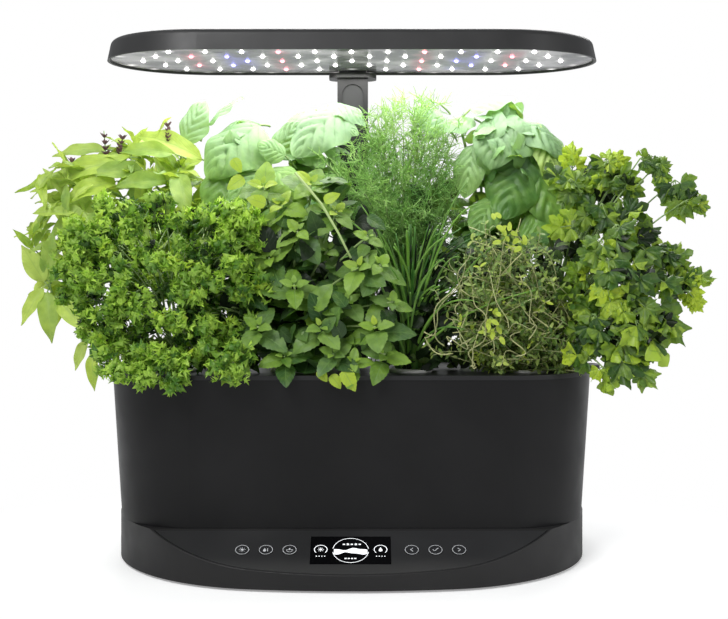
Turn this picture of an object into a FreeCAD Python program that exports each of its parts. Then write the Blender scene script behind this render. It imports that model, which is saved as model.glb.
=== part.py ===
import FreeCAD, Part

# Countertop hydroponic garden: a grow-light hood on a telescopic post over a water bowl,
# with nine herbs rooted in baskets in the grow deck, on a base with a sloped control panel.
# Millimetres, +Z up, the front faces -Y, the origin is on the table under the bowl's centre.

import math
import os

import Sketcher
from FreeCAD import Placement, Rotation, Vector

SIZES = (
    # Base housing
    ("foot_side_inset", 66.3),
    ("foot_rear_inset", 48.0),
    ("foot_front_inset", 64.0),
    ("foot_height", 2.0),
    ("foot_radius", 9.0),
    ("base_half_width", 204.3),
    ("base_front", 144.0),
    ("base_back", 138.0),
    ("base_front_radius", 560.0),
    ("base_corner_radius", 145.0),
    ("base_rear_radius", 70.0),
    ("base_top", 40.0),
    ("base_wall", 2.5),
    ("base_fit", 0.3),
    ("floor_thickness", 2.5),
    # Control panel, measured down its slope from the rear edge
    ("panel_angle", 27.5),
    ("panel_rear", 94.5),
    ("fascia_thickness", 1.2),
    ("fascia_margin", 2.0),
    ("fascia_fit", 0.15),
    ("display_width", 64.5),
    ("display_depth", 33.0),
    ("display_lens_thickness", 1.0),
    ("display_bezel", 3.0),
    ("control_down", 26.0),
    ("key_radius", 5.8),
    ("key_gap", 0.2),
    ("key_proud", 0.5),
    ("key_first", 49.0),
    ("key_pitch", 19.0),
    ("key_travel", 0.6),
    ("key_retainer", 14.0),
    ("key_retainer_thickness", 0.5),
    ("key_retainer_gap", 0.2),
    ("key_hole_gap", 0.5),
    ("key_stem", 4.0),
    ("key_stem_gap", 0.1),
    ("board_width", 206.0),
    ("board_depth", 34.0),
    ("board_thickness", 1.6),
    ("board_drop", 6.5),
    ("switch_size", 6.0),
    ("switch_height", 1.1),
    ("board_stub_radius", 2.5),
    ("board_stub_inset", 4.0),
    ("smile_edge_radius", 0.8),
    # Water bowl
    ("bowl_half_width", 198.8),
    ("bowl_half_depth", 93.0),
    ("bowl_corner", 66.0),
    ("bowl_taper", 3.6),
    ("bowl_height", 122.5),
    ("bowl_wall", 2.2),
    ("bowl_floor", 2.5),
    # Grow deck and its pods
    ("deck_overhang", 0.8),
    ("deck_thickness", 2.5),
    ("deck_bead", 1.2),
    ("deck_skirt", 6.0),
    ("deck_skirt_wall", 1.6),
    ("deck_fit", 0.4),
    ("tab_overhang", 21.2),
    ("tab_root", 22.0),
    ("tab_width", 26.0),
    ("tab_corner_radius", 9.0),
    ("tab_thickness", 3.4),
    ("pod_front_pitch", 100.0),
    ("pod_front_y", 50.0),
    ("pod_rear_inner", 45.0),
    ("pod_rear_pitch", 80.0),
    ("pod_rear_y", 42.0),
    ("pod_end_x", 178.0),
    ("pod_end_y", 2.0),
    ("basket_top_radius", 16.2),
    ("basket_bottom_radius", 12.0),
    ("basket_depth", 58.0),
    ("basket_wall", 1.3),
    ("basket_flange_radius", 19.0),
    ("basket_flange", 1.5),
    ("basket_fit", 0.4),
    ("basket_window", 8.0),
    ("basket_window_sill", 8.0),
    ("basket_window_head", 14.0),
    ("sponge_gap", 0.3),
    ("label_thickness", 0.4),
    ("label_hole", 6.5),
    ("label_inset", 1.0),
    # Fill port with its hinged cover, at the left end of the deck
    ("port_x", 180.0),
    ("port_y", 2.0),
    ("port_length", 30.0),
    ("port_width", 24.0),
    ("port_lap", 2.0),
    ("cover_thickness", 1.6),
    ("hinge_pin_radius", 1.0),
    ("hinge_play", 0.05),
    ("hinge_rise", 2.4),
    ("hinge_ear", 3.0),
    ("hinge_ear_length", 5.0),
    ("hinge_side_gap", 0.3),
    ("cover_arm_lap", 3.0),
    ("cover_grip_reach", 3.0),
    ("cover_grip_root", 1.0),
    ("cover_grip_width", 12.0),
    ("cover_grip_rise", 0.4),
    ("hinge_back", 4.0),
    ("knuckle_radius", 2.2),
    # Pump, riser and water-level float
    ("pump_y", 4.0),
    ("pump_width", 50.0),
    ("pump_depth", 40.0),
    ("pump_height", 38.0),
    ("pump_foot", 1.5),
    ("pump_pad", 8.0),
    ("pump_inlet_radius", 6.0),
    ("pump_cover_thickness", 3.0),
    ("impeller_radius", 12.5),
    ("impeller_gap", 1.5),
    ("impeller_blade", 8.0),
    ("impeller_blade_thickness", 1.4),
    ("impeller_blade_root", 2.0),
    ("impeller_hub_radius", 4.0),
    ("rotor_radius", 7.0),
    ("rotor_length", 16.0),
    ("rotor_gap", 0.6),
    ("shaft_radius", 1.25),
    ("shaft_play", 0.05),
    ("shaft_socket", 4.0),
    ("outlet_x", 18.5),
    ("outlet_radius", 4.6),
    ("outlet_bore", 2.6),
    ("outlet_height", 12.0),
    ("outlet_slot_width", 5.2),
    ("outlet_slot_height", 5.0),
    ("outlet_slot_rise", 2.0),
    ("filter_thickness", 10.0),
    ("filter_gap", 0.3),
    ("filter_margin", 3.0),
    ("filter_headroom", 8.0),
    ("riser_wall", 1.6),
    ("riser_fit", 0.2),
    ("riser_top_gap", 1.0),
    ("float_x", 95.0),
    ("float_y", 4.0),
    ("float_radius", 10.0),
    ("float_height", 20.0),
    ("float_gap", 0.8),
    ("cage_wall", 1.8),
    ("cage_height", 104.0),
    ("cage_slot", 6.0),
    ("cage_sill", 6.0),
    ("cage_head", 10.0),
    ("cage_mouth_inset", 3.0),
    # Telescopic post, in a notch at the back of the bowl
    ("post_y", 86.0),
    ("post_width", 29.0),
    ("post_depth", 22.0),
    ("post_front_wall", 2.5),
    ("post_gap", 4.0),
    ("mast_width", 24.4),
    ("mast_depth", 13.0),
    ("mast_fit", 0.3),
    ("mast_top", 424.0),
    ("mast_crown_radius", 9.0),
    ("mast_wire_bore", 6.0),
    ("post_lower_top", 211.5),
    ("post_foot_width", 46.0),
    ("post_foot_depth", 34.0),
    ("post_foot_thickness", 3.0),
    ("post_rest_gap", 0.5),
    ("post_hole_fit", 0.3),
    ("mast_cheek", 5.0),
    ("channel_opening", 20.5),
    ("bush_depth", 12.0),
    ("bush_wall", 1.1),
    ("bush_fit", 0.1),
    # Grow-light hood
    ("hood_bottom", 434.0),
    ("hood_height", 18.0),
    ("hood_half_width", 216.5),
    ("hood_half_depth", 89.0),
    ("hood_taper", 12.0),
    ("hood_edge_radius", 6.0),
    ("hood_wall", 2.4),
    ("hood_lip", 2.0),
    ("light_board_thickness", 1.6),
    ("light_board_fit", 0.3),
    ("led_margin", 14.0),
    ("led_post_clearance", 4.0),
    ("led_rear_clearance", 40.0),
    ("led_size", 3.4),
    ("led_height", 1.0),
    ("led_pitch_x", 31.0),
    ("led_pitch_y", 29.0),
    ("board_slot_x", 114.0),
    ("board_slot_y", 54.0),
    ("board_slot_length", 9.0),
    ("board_slot_width", 1.8),
    ("heat_sink_length", 340.0),
    ("heat_sink_depth", 96.0),
    ("heat_sink_plate", 2.0),
    ("heat_sink_fin", 6.0),
    ("heat_sink_fin_thickness", 1.6),
    ("hood_post_x", 90.0),
    ("hood_post_y", 70.0),
    ("hood_post_inset", 40.0),
    ("collar_width", 45.0),
    ("collar_depth", 38.0),
    ("collar_corner", 13.0),
    ("collar_thickness", 4.5),
    ("collar_plug_width", 26.0),
    ("collar_plug_depth", 11.0),
    ("collar_plug_height", 10.0),
    ("collar_plug_gap", 3.5),
    ("collar_plug_fit", 0.4),
    ("collar_plug_overlap", 1.0),
    # Power inlet at the back
    ("inlet_x", 60.0),
    ("inlet_height", 18.0),
    ("inlet_bore", 3.0),
    ("inlet_pin", 1.05),
    ("inlet_body", 11.0),
    ("inlet_depth", 13.0),
    ("inlet_back", 3.0),
    ("inlet_pin_recess", 1.0),
    ("inlet_ledge", 1.0),
    # Screws
    ("screw_head_radius", 3.0),
    ("screw_head_height", 1.4),
    ("screw_radius", 1.4),
    ("screw_length", 9.0),
    ("screw_pilot_fit", 0.1),
    ("screw_hole_fit", 0.2),
    ("screw_head_fit", 0.3),
    ("screw_seat_depth", 1.5),
    ("screw_side_inset", 40.0),
    ("screw_rear_inset", 30.0),
    ("screw_middle_y", 40.0),
    ("screw_front_inset", 50.0),
    ("screw_board_gap", 22.0),
    ("boss_radius", 4.0),
)

PANEL_RUN = 220.0  # how far the tools that shape the sloped panel reach, past any base
WIDE = 520.0  # width of those tools
TALL = 80.0  # height of the tool that clears what is above the panel
THROUGH = "20"  # length of the tools that open one wall
BACK = 10.0  # how far those tools start behind it
LONG = "500"  # length of the tools that open the whole part from end to end
OVER = 1.0  # how far a tool starts outside the face that it opens
NEAR = 0.01  # how close two places count as the same

doc = FreeCAD.newDocument("HydroponicGarden")
sheet = doc.addObject("Spreadsheet::Sheet", "Sizes")
for row, (alias, number) in enumerate(SIZES, start=1):
    sheet.set(f"A{row}", alias)
    sheet.set(f"B{row}", str(number))
    sheet.setAlias(f"B{row}", alias)
doc.recompute()

kept = []


def size(alias):
    """The number that the sheet holds under this alias."""
    return float(sheet.get(alias))


def value(expression):
    """The number that an expression of the sheet's aliases comes to."""
    found = sheet.evalExpression(expression)
    return float(getattr(found, "Value", found))


def tied(expression):
    """The expression as another object of the document writes it, with the sheet's name first."""
    words, word = [], ""
    for letter in expression + " ":
        if letter.isalnum() or letter in "_.":
            word += letter
            continue
        is_alias = word and word[0].isalpha() and any(word == name for name, _ in SIZES)
        words.append("Sizes." + word if is_alias else word)
        words.append(letter)
        word = ""
    return "".join(words).strip()


def bind(made, **expressions):
    for name, expression in expressions.items():
        made.setExpression(name, tied(expression))
    return made


def keep(made, name):
    """Marks an object as a sub-part, under the name of its node."""
    made.Label = name
    kept.append(made)
    return made


def shift(x, y, z):
    return Placement(Vector(x, y, z), Rotation())


def on_panel(x, down, rise):
    """A place on the sloped panel: across, down its slope, and out along its normal."""
    slope = Placement(
        Vector(0, -size("panel_rear"), size("base_top")),
        Rotation(Vector(1, 0, 0), size("panel_angle")),
    )
    return slope.multiply(shift(x, -down, rise))


def box(name, length, width, height, place):
    """A block centred on its place in X and Y that rises from it. Its sizes are expressions."""
    made = bind(doc.addObject("Part::Box", name), Length=length, Width=width, Height=height)
    made.Placement = place.multiply(shift(-value(length) / 2, -value(width) / 2, 0))
    return made


def rod(name, radius, height, place):
    made = bind(doc.addObject("Part::Cylinder", name), Radius=radius, Height=height)
    made.Placement = place
    return made


def cut(name, base, *tools):
    """base less the tools, one after another."""
    for count, tool in enumerate(tools):
        made = doc.addObject("Part::Cut", f"{name}_{count}" if count < len(tools) - 1 else name)
        made.Base, made.Tool = base, tool
        base = made
    return base


def fuse(name, *shapes):
    made = doc.addObject("Part::MultiFuse", name)
    made.Shapes = list(shapes)
    made.Refine = True
    return made


def common(name, first, second):
    made = doc.addObject("Part::Common", name)
    made.Base, made.Tool = first, second
    return made


def feature(name, shape):
    made = doc.addObject("Part::Feature", name)
    made.Shape = shape
    return made


def new_sketch(body, name, height):
    plane = next(f for f in body.Origin.OriginFeatures if f.Role == "XY_Plane")
    made = body.newObject("Sketcher::SketchObject", name)
    made.AttachmentSupport = (plane, [""])
    made.MapMode = "FlatFace"
    made.setExpression("AttachmentOffset.Base.z", tied(height))
    return made


def dimension(sketch, expression, *words):
    """A dimensional constraint that follows the sheet."""
    index = sketch.addConstraint(Sketcher.Constraint(*words, value(expression)))
    sketch.setExpression(f"Constraints[{index}]", tied(expression))


def arc(cx, cy, radius, start, end):
    circle = Part.Circle(Vector(cx, cy, 0), Vector(0, 0, 1), radius)
    return Part.ArcOfCircle(circle, math.radians(start), math.radians(end))


def line(x0, y0, x1, y1):
    return Part.LineSegment(Vector(x0, y0, 0), Vector(x1, y1, 0))


def rounded_rectangle(sketch, half_x, half_y, radius):
    """A rectangle about the origin with four equal round corners."""
    x, y, r = value(half_x), value(half_y), value(radius)
    sketch.addGeometry(
        [
            line(-x + r, -y, x - r, -y),
            line(x, -y + r, x, y - r),
            line(x - r, y, -x + r, y),
            line(-x, y - r, -x, -y + r),
            arc(x - r, -y + r, r, -90, 0),
            arc(x - r, y - r, r, 0, 90),
            arc(-x + r, y - r, r, 90, 180),
            arc(-x + r, -y + r, r, 180, 270),
        ],
        False,
    )
    joints = ((0, 2, 4, 1), (4, 2, 1, 1), (1, 2, 5, 1), (5, 2, 2, 1), (2, 2, 6, 1), (6, 2, 3, 1))
    joints += ((3, 2, 7, 1), (7, 2, 0, 1))
    rules = [Sketcher.Constraint("Tangent", *joint) for joint in joints]
    rules += [Sketcher.Constraint("Horizontal", 0), Sketcher.Constraint("Horizontal", 2)]
    rules += [Sketcher.Constraint("Vertical", 1), Sketcher.Constraint("Vertical", 3)]
    rules += [Sketcher.Constraint("Equal", 4, corner) for corner in (5, 6, 7)]
    sketch.addConstraint(rules)
    dimension(sketch, radius, "Radius", 4)
    dimension(sketch, half_y, "DistanceY", 0, 1, -1, 1)
    dimension(sketch, half_y, "DistanceY", -1, 1, 2, 1)
    dimension(sketch, half_x, "DistanceX", -1, 1, 1, 1)
    dimension(sketch, half_x, "DistanceX", 3, 1, -1, 1)


def base_outline(sketch, inset):
    """The base's plan: a shallow bowed front, large front corners, and a squarer back."""
    reach = f"(base_half_width - ({inset}))"
    front = f"(base_front - ({inset}))"
    back = f"(base_back - ({inset}))"
    bow = f"(base_front_radius - ({inset}))"
    corner = f"(base_corner_radius - ({inset}))"
    rear = f"(base_rear_radius - ({inset}))"
    w, f, b = value(reach), value(front), value(back)
    r1, r2, r3 = value(bow), value(corner), value(rear)
    turn = math.degrees(math.asin((w - r2) / (r1 - r2)))
    cx, cy = w - r2, r1 - f - (r1 - r2) * math.cos(math.radians(turn))
    sketch.addGeometry(
        [
            arc(0, r1 - f, r1, -90 - turn, -90 + turn),
            arc(cx, cy, r2, -90 + turn, 0),
            line(w, cy, w, b - r3),
            arc(w - r3, b - r3, r3, 0, 90),
            line(w - r3, b, -w + r3, b),
            arc(-w + r3, b - r3, r3, 90, 180),
            line(-w, b - r3, -w, cy),
            arc(-cx, cy, r2, 180, 270 - turn),
        ],
        False,
    )
    ring = [(i, 2, (i + 1) % 8, 1) for i in range(8)]
    rules = [Sketcher.Constraint("Tangent", *joint) for joint in ring]
    rules += [Sketcher.Constraint("Vertical", 2), Sketcher.Constraint("Vertical", 6)]
    rules += [Sketcher.Constraint("Horizontal", 4)]
    rules += [Sketcher.Constraint("Equal", 1, 7), Sketcher.Constraint("Equal", 3, 5)]
    rules += [Sketcher.Constraint("PointOnObject", 0, 3, -2)]
    sketch.addConstraint(rules)
    dimension(sketch, bow, "Radius", 0)
    dimension(sketch, corner, "Radius", 1)
    dimension(sketch, rear, "Radius", 3)
    dimension(sketch, f"{bow} - {front}", "DistanceY", -1, 1, 0, 3)
    dimension(sketch, back, "DistanceY", -1, 1, 4, 1)
    dimension(sketch, reach, "DistanceX", -1, 1, 2, 1)


def prism(name, outline, bottom, height, taper=None):
    """A pad of an outline that a function draws, from a height above the table upwards."""
    body = doc.addObject("PartDesign::Body", name)
    drawn = new_sketch(body, name + "_sketch", bottom)
    outline(drawn)
    pad = body.newObject("PartDesign::Pad", name + "_pad")
    pad.Profile = drawn
    bind(pad, Length=height)
    if taper:
        bind(pad, TaperAngle=taper)
    doc.recompute()
    return body


def base_prism(name, inset, bottom, height):
    return prism(name, lambda drawn: base_outline(drawn, inset), bottom, height)


def rounded_prism(name, half_x, half_y, radius, bottom, height, taper=None):
    def outline(drawn):
        rounded_rectangle(drawn, half_x, half_y, radius)

    return prism(name, outline, bottom, height, taper)


def above_panel(name, depth):
    """A tool that holds everything above the panel's slope, let down by depth along its normal."""
    made = doc.addObject("Part::Box", name)
    made.Length, made.Width, made.Height = WIDE, PANEL_RUN, TALL
    made.Placement = on_panel(-WIDE / 2, PANEL_RUN, -value(depth))
    return made


def panel_slab(name, rear, depth, thickness):
    """A slab that lies parallel to the slope, from rear down the slope, thickness thick."""
    made = doc.addObject("Part::Box", name)
    bind(made, Height=thickness)
    made.Length, made.Width = WIDE, PANEL_RUN
    made.Placement = on_panel(-WIDE / 2, value(rear) + PANEL_RUN, -value(depth))
    return made


def screw_places():
    """Where the base's floor is screwed up into the shell: x, y."""
    x = size("base_half_width") - size("screw_side_inset")
    rear = size("base_back") - size("screw_rear_inset")
    middle = -size("screw_middle_y")
    front = size("screw_front_inset") - size("base_front")
    aside = size("board_width") / 2 + size("screw_board_gap")
    return [(-x, rear), (x, rear), (-x, middle), (x, middle), (-aside, front), (aside, front)]


def key_places():
    """The six keys' places across the panel, three each side of the display."""
    first, pitch = size("key_first"), size("key_pitch")
    left = [-first - pitch * step for step in (2, 1, 0)]
    return left + [-x for x in reversed(left)]


def pod_places():
    """The nine pods, by herb: four along the front, four behind them, one at the right end."""
    pitch, front = size("pod_front_pitch"), -size("pod_front_y")
    inner, rear = size("pod_rear_inner"), size("pod_rear_y")
    outer = inner + size("pod_rear_pitch")
    return {
        "curly_parsley": (-1.5 * pitch, front),
        "mint": (-0.5 * pitch, front),
        "chives": (0.5 * pitch, front),
        "thyme": (1.5 * pitch, front),
        "thai_basil": (-outer, rear),
        "sweet_basil_left": (-inner, rear),
        "dill": (inner, rear),
        "sweet_basil_right": (outer, rear),
        "italian_parsley": (size("pod_end_x"), -size("pod_end_y")),
    }


def group(name, shape_at, places):
    """Equal pieces that share one node, a separate solid at each place."""
    return keep(feature(name, Part.Compound([shape_at(x, y) for x, y in places])), name)


def make_base_shell():
    """The moulded housing: closed above, open below, with its panel recess, sockets and bosses."""
    height = "base_top - foot_height"
    outer = cut(
        "base_form",
        base_prism("base_solid", "0", "foot_height", height),
        above_panel("slope_cutter", "0"),
    )
    cavity = cut(
        "base_cavity",
        base_prism("base_hollow", "base_wall", "foot_height", f"{height} - base_wall"),
        above_panel("slope_cutter_inner", "base_wall + fascia_thickness"),
    )
    recess = common(
        "fascia_recess",
        base_prism("recess_prism", "fascia_margin - fascia_fit", "0", "base_top"),
        panel_slab(
            "recess_slab", "fascia_margin - fascia_fit", "fascia_thickness", f"fascia_thickness + {OVER}"
        ),
    )
    bosses = []
    for x, y in screw_places():
        floor = size("foot_height") + size("floor_thickness")
        top = size("base_top") - size("base_wall") / 2
        boss = Part.makeCylinder(size("boss_radius"), top - floor, Vector(x, y, floor))
        pilot = Part.makeCylinder(
            size("screw_radius") + size("screw_pilot_fit"),
            size("screw_length"),
            Vector(x, y, floor),
        )
        bosses.append(feature("boss", boss.cut(pilot)))
    for x in (-1, 1):
        reach = size("board_drop") - size("fascia_thickness") - size("base_wall") / 2
        across = x * (size("board_width") / 2 - size("board_stub_inset"))
        place = on_panel(across, size("control_down"), -size("board_drop"))
        stub = Part.makeCylinder(size("board_stub_radius"), reach)
        stub.Placement = place
        bosses.append(feature("board_stub", stub))
    shell = fuse("base_with_bosses", cut("base_hollowed", outer, cavity), *bosses)
    holes = [
        rod("key_hole", "key_radius + key_hole_gap", THROUGH, on_panel(x, size("control_down"), -BACK))
        for x in key_places()
    ]
    holes.append(
        box(
            "display_hole",
            "display_width - 2 * display_bezel",
            "display_depth - 2 * display_bezel",
            THROUGH,
            on_panel(0, size("control_down"), -BACK),
        )
    )
    holes.append(
        box(
            "post_hole",
            "post_width + 2 * post_hole_fit",
            "post_depth + 2 * post_hole_fit",
            LONG,
            shift(0, size("post_y"), size("base_top") - BACK),
        )
    )
    holes.append(
        box(
            "inlet_hole",
            "inlet_body - 2 * inlet_ledge",
            THROUGH,
            "inlet_body - 2 * inlet_ledge",
            shift(
                size("inlet_x"),
                size("base_back"),
                size("inlet_height") - size("inlet_body") / 2 + size("inlet_ledge"),
            ),
        )
    )
    whole = cut("base_whole", shell, recess, *holes)
    keep(soft_smile(whole), "base_shell")


def soft_smile(shell):
    """The shell with a small radius on the curved edge where its panel meets its front."""
    doc.recompute()
    slope = on_panel(0, 0, 0).inverse()
    radius = size("smile_edge_radius")
    chosen = []
    for number, edge in enumerate(shell.Shape.Edges, start=1):
        middle = edge.valueAt((edge.FirstParameter + edge.LastParameter) / 2)
        points = [vertex.Point for vertex in edge.Vertexes] + [middle]
        on_slope = all(abs(slope.multVec(point).z) < NEAR for point in points)
        outward = Vector(middle.x, middle.y, 0).normalize() * (size("fascia_margin") / 2)
        beyond = middle + outward - Vector(0, 0, NEAR)
        is_lower = middle.z < size("base_top") - size("fascia_thickness")
        if on_slope and is_lower and not shell.Shape.isInside(beyond, NEAR, True):
            chosen.append((number, radius, radius))
    made = doc.addObject("Part::Fillet", "base_softened")
    made.Base = shell
    made.Edges = chosen
    return made


def make_panel():
    """The glossy fascia in its recess, the display behind its lens, the keys and their board."""
    down = size("control_down")
    plate = common(
        "fascia_plate",
        base_prism("fascia_prism", "fascia_margin", "0", "base_top"),
        panel_slab("fascia_slab", "fascia_margin", "fascia_thickness", "fascia_thickness"),
    )
    holes = [
        rod("fascia_key_hole", "key_radius + key_gap", THROUGH, on_panel(x, down, -BACK))
        for x in key_places()
    ]
    window = box(
        "fascia_window",
        "display_width + 2 * fascia_fit",
        "display_depth + 2 * fascia_fit",
        THROUGH,
        on_panel(0, down, -BACK),
    )
    keep(cut("fascia_made", plate, window, *holes), "control_fascia")
    lens_bottom = -size("fascia_thickness")
    lens = box(
        "lens",
        "display_width",
        "display_depth",
        "display_lens_thickness",
        on_panel(0, down, lens_bottom),
    )
    keep(lens, "display_lens")
    module_top = size("fascia_thickness") + size("base_wall")
    module = box(
        "module",
        "display_width",
        "display_depth",
        "board_drop - fascia_thickness - base_wall",
        on_panel(0, down, -size("board_drop")),
    )
    keep(module, "display_module")
    board = box(
        "board",
        "board_width",
        "board_depth",
        "board_thickness",
        on_panel(0, down, -size("board_drop") - size("board_thickness")),
    )
    keep(board, "control_board")

    def switch(x, _):
        wide = size("switch_size")
        made = Part.makeBox(wide, wide, size("switch_height"), Vector(-wide / 2, -wide / 2, 0))
        made.Placement = on_panel(x, down, -size("board_drop"))
        return made

    group("key_switches", switch, [(x, 0) for x in key_places()])
    names = ("light", "water", "food", "back", "select", "next")
    retainer_top = -module_top - size("key_retainer_gap")
    retainer_bottom = retainer_top - size("key_retainer_thickness")
    press_start = -size("board_drop") + size("switch_height") + size("key_travel")
    press_end = press_start + size("key_stem_gap")
    for name, x in zip(names, key_places()):
        cap = rod("cap", "key_radius", f"key_proud + {-retainer_top}", on_panel(x, down, retainer_top))
        plate_place = on_panel(x, down, retainer_bottom)
        plate_size = ("key_retainer", "key_retainer", "key_retainer_thickness")
        retainer = box("retainer", *plate_size, plate_place)
        stem_place = on_panel(x, down, press_end)
        stem = box("stem", "key_stem", "key_stem", f"{retainer_top - press_end}", stem_place)
        keep(fuse("key_" + name + "_made", cap, retainer, stem), "key_" + name)


def make_base_floor():
    floor = base_prism("floor_solid", "base_wall + base_fit", "foot_height", "floor_thickness")
    bottom = size("foot_height")
    tools = []
    for x, y in screw_places():
        tools.append(
            rod("floor_hole", "screw_radius + screw_hole_fit", THROUGH, shift(x, y, bottom - OVER))
        )
        seat = ("screw_head_radius + screw_head_fit", "screw_seat_depth")
        tools.append(rod("floor_seat", *seat, shift(x, y, bottom)))
    keep(cut("floor_made", floor, *tools), "base_floor")

    def foot(x, y):
        return Part.makeCylinder(size("foot_radius"), size("foot_height"), Vector(x, y, 0))

    x = size("base_half_width") - size("foot_side_inset")
    rear = size("base_back") - size("foot_rear_inset")
    front = size("foot_front_inset") - size("base_front")
    group("rubber_feet", foot, [(-x, rear), (x, rear), (-x, front), (x, front)])

    def screw(x, y):
        seat = bottom + size("screw_seat_depth")
        head = Part.makeCylinder(
            size("screw_head_radius"),
            size("screw_head_height"),
            Vector(x, y, seat - size("screw_head_height")),
        )
        length = size("screw_length") - size("screw_hole_fit")
        return head.fuse(
            Part.makeCylinder(size("screw_radius"), length, Vector(x, y, seat))
        ).removeSplitter()

    group("base_screws", screw, screw_places())


def make_inlet():
    """A round low-voltage socket behind the rear wall, its mouth flush with the wall's inside."""
    mouth = size("base_back") - size("base_wall")
    body = size("inlet_body")
    place = Placement(
        Vector(size("inlet_x"), mouth, size("inlet_height")), Rotation(Vector(1, 0, 0), 90)
    )
    block = box("inlet_block", "inlet_body", "inlet_body", "inlet_depth", place)
    bore = rod("inlet_bore_tool", "inlet_bore", "inlet_depth - inlet_back", place)
    pin_place = place.multiply(shift(0, 0, size("inlet_pin_recess")))
    pin = rod("inlet_pin_made", "inlet_pin", "inlet_depth - 2 * inlet_pin_recess", pin_place)
    leg_height = size("inlet_height") - body / 2 - size("foot_height") - size("floor_thickness")
    leg_place = shift(
        size("inlet_x"),
        mouth - size("inlet_depth") / 2,
        size("foot_height") + size("floor_thickness"),
    )
    leg = box("inlet_leg", "inlet_body", "inlet_depth", str(leg_height), leg_place)
    keep(fuse("inlet_made", cut("inlet_bored", block, bore), pin, leg), "power_inlet")


def notch(name, grow, bottom, height):
    """The slot at the back of the bowl and deck that lets the post stand inside their outline."""
    front = value(f"post_y - post_depth / 2 - post_gap - ({grow})")
    return box(
        name,
        f"post_width + 2 * post_gap + 2 * ({grow})",
        "base_back",
        height,
        shift(0, front + size("base_back") / 2, value(bottom)),
    )


def rim_growth(height):
    """How much wider the bowl's side has become at a height above its foot."""
    return f"(({height}) * tan(bowl_taper))"


def make_bowl():
    """A tapered tub with one wall all round, drawn in around the post."""
    outer = rounded_prism(
        "bowl_solid",
        "bowl_half_width",
        "bowl_half_depth",
        "bowl_corner",
        "base_top",
        "bowl_height",
        "bowl_taper",
    )
    inner = rounded_prism(
        "bowl_hollow",
        "bowl_half_width - bowl_wall",
        "bowl_half_depth - bowl_wall",
        "bowl_corner - bowl_wall",
        "base_top + bowl_floor",
        "bowl_height",
        "bowl_taper",
    )
    hollow = cut(
        "bowl_cavity",
        inner,
        notch("notch_wall", "bowl_wall", f"base_top - {OVER}", "2 * bowl_height"),
    )
    slot = notch("notch_slot", "0", f"base_top - {OVER}", "2 * bowl_height")
    keep(cut("bowl_made", outer, hollow, slot), "water_bowl")


def make_deck():
    """The lid that the pods hang in: plate, rim bead, skirt inside the bowl, lift tabs."""
    rim = "base_top + bowl_height"
    top = value(f"{rim} + deck_thickness")
    grown = rim_growth("bowl_height")
    side = f"bowl_half_width + {grown} + deck_overhang"
    deep = f"bowl_half_depth + {grown} + deck_overhang"
    corner = f"bowl_corner + {grown} + deck_overhang"
    plate = rounded_prism("deck_plate", side, deep, corner, rim, "deck_thickness + deck_bead")
    inset = "deck_overhang + bowl_wall"
    dish = rounded_prism(
        "deck_dish",
        f"{side} - ({inset})",
        f"{deep} - ({inset})",
        f"{corner} - ({inset})",
        f"{rim} + deck_thickness",
        THROUGH,
    )
    inside = "deck_overhang + bowl_wall + deck_skirt * tan(bowl_taper) + deck_fit"
    skirt_bottom = f"{rim} - deck_skirt"
    skirt = rounded_prism(
        "deck_skirt_outer",
        f"{side} - ({inside})",
        f"{deep} - ({inside})",
        f"{corner} - ({inside})",
        skirt_bottom,
        "deck_skirt + deck_thickness / 2",
    )
    skirt_hollow = rounded_prism(
        "deck_skirt_inner",
        f"{side} - ({inside}) - deck_skirt_wall",
        f"{deep} - ({inside}) - deck_skirt_wall",
        f"{corner} - ({inside}) - deck_skirt_wall",
        skirt_bottom,
        "deck_skirt",
    )
    start = f"({side} - tab_root)"
    reach = "(bowl_half_width + tab_overhang)"
    middle = value(f"({reach} + {start}) / 2")
    tabs = []
    for x in (-1, 1):
        place = shift(x * middle, 0, value(rim))
        tab = box("tab", f"{reach} - {start}", "tab_width", "tab_thickness", place)
        tabs.append(rounded_tab(tab))
    solid = fuse("deck_solid", plate, cut("deck_ring", skirt, skirt_hollow), *tabs)
    tools = [dish, notch("deck_notch", "bowl_wall + deck_fit", skirt_bottom, "bowl_height")]
    for x, y in pod_places().values():
        hole = rod("pod_hole", "basket_top_radius + basket_fit", THROUGH, shift(x, y, top - BACK))
        tools.append(hole)
    port_x, port_y = -size("port_x"), -size("port_y")
    tools.append(
        box("port_hole", "port_length", "port_width", THROUGH, shift(port_x, port_y, top - BACK))
    )
    deck = cut("deck_cut", solid, *tools)
    ears = []
    hinge_x, hinge_z = hinge_axis()
    for side_of in (-1, 1):
        y = port_y + side_of * (size("port_width") / 2 - size("hinge_ear") / 2)
        ear = Part.makeBox(
            size("hinge_ear_length"),
            size("hinge_ear"),
            hinge_z + size("knuckle_radius") - top,
            Vector(hinge_x - size("hinge_ear_length") / 2, y - size("hinge_ear") / 2, top),
        )
        hole = Part.makeCylinder(
            size("hinge_pin_radius") + size("hinge_play") / 2,
            2 * BACK,
            Vector(hinge_x, y - BACK, hinge_z),
            Vector(0, 1, 0),
        )
        ears.append(feature("ear", ear.cut(hole)))
    keep(fuse("deck_made", deck, *ears), "grow_deck")


def rounded_tab(tab):
    """A lift tab with its four upright edges rounded."""
    doc.recompute()
    upright = []
    for number, edge in enumerate(tab.Shape.Edges, start=1):
        if abs(edge.tangentAt(edge.FirstParameter).z) > 0.9:
            upright.append((number, size("tab_corner_radius"), size("tab_corner_radius")))
    made = doc.addObject("Part::Fillet", "tab_rounded")
    made.Base = tab
    made.Edges = upright
    return made


def hinge_axis():
    """x and z of the fill cover's hinge, on the port's inner side."""
    top = value("base_top + bowl_height + deck_thickness")
    x = -size("port_x") + size("port_length") / 2 + size("port_lap") + size("hinge_back")
    return x, top + size("hinge_rise")


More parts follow.
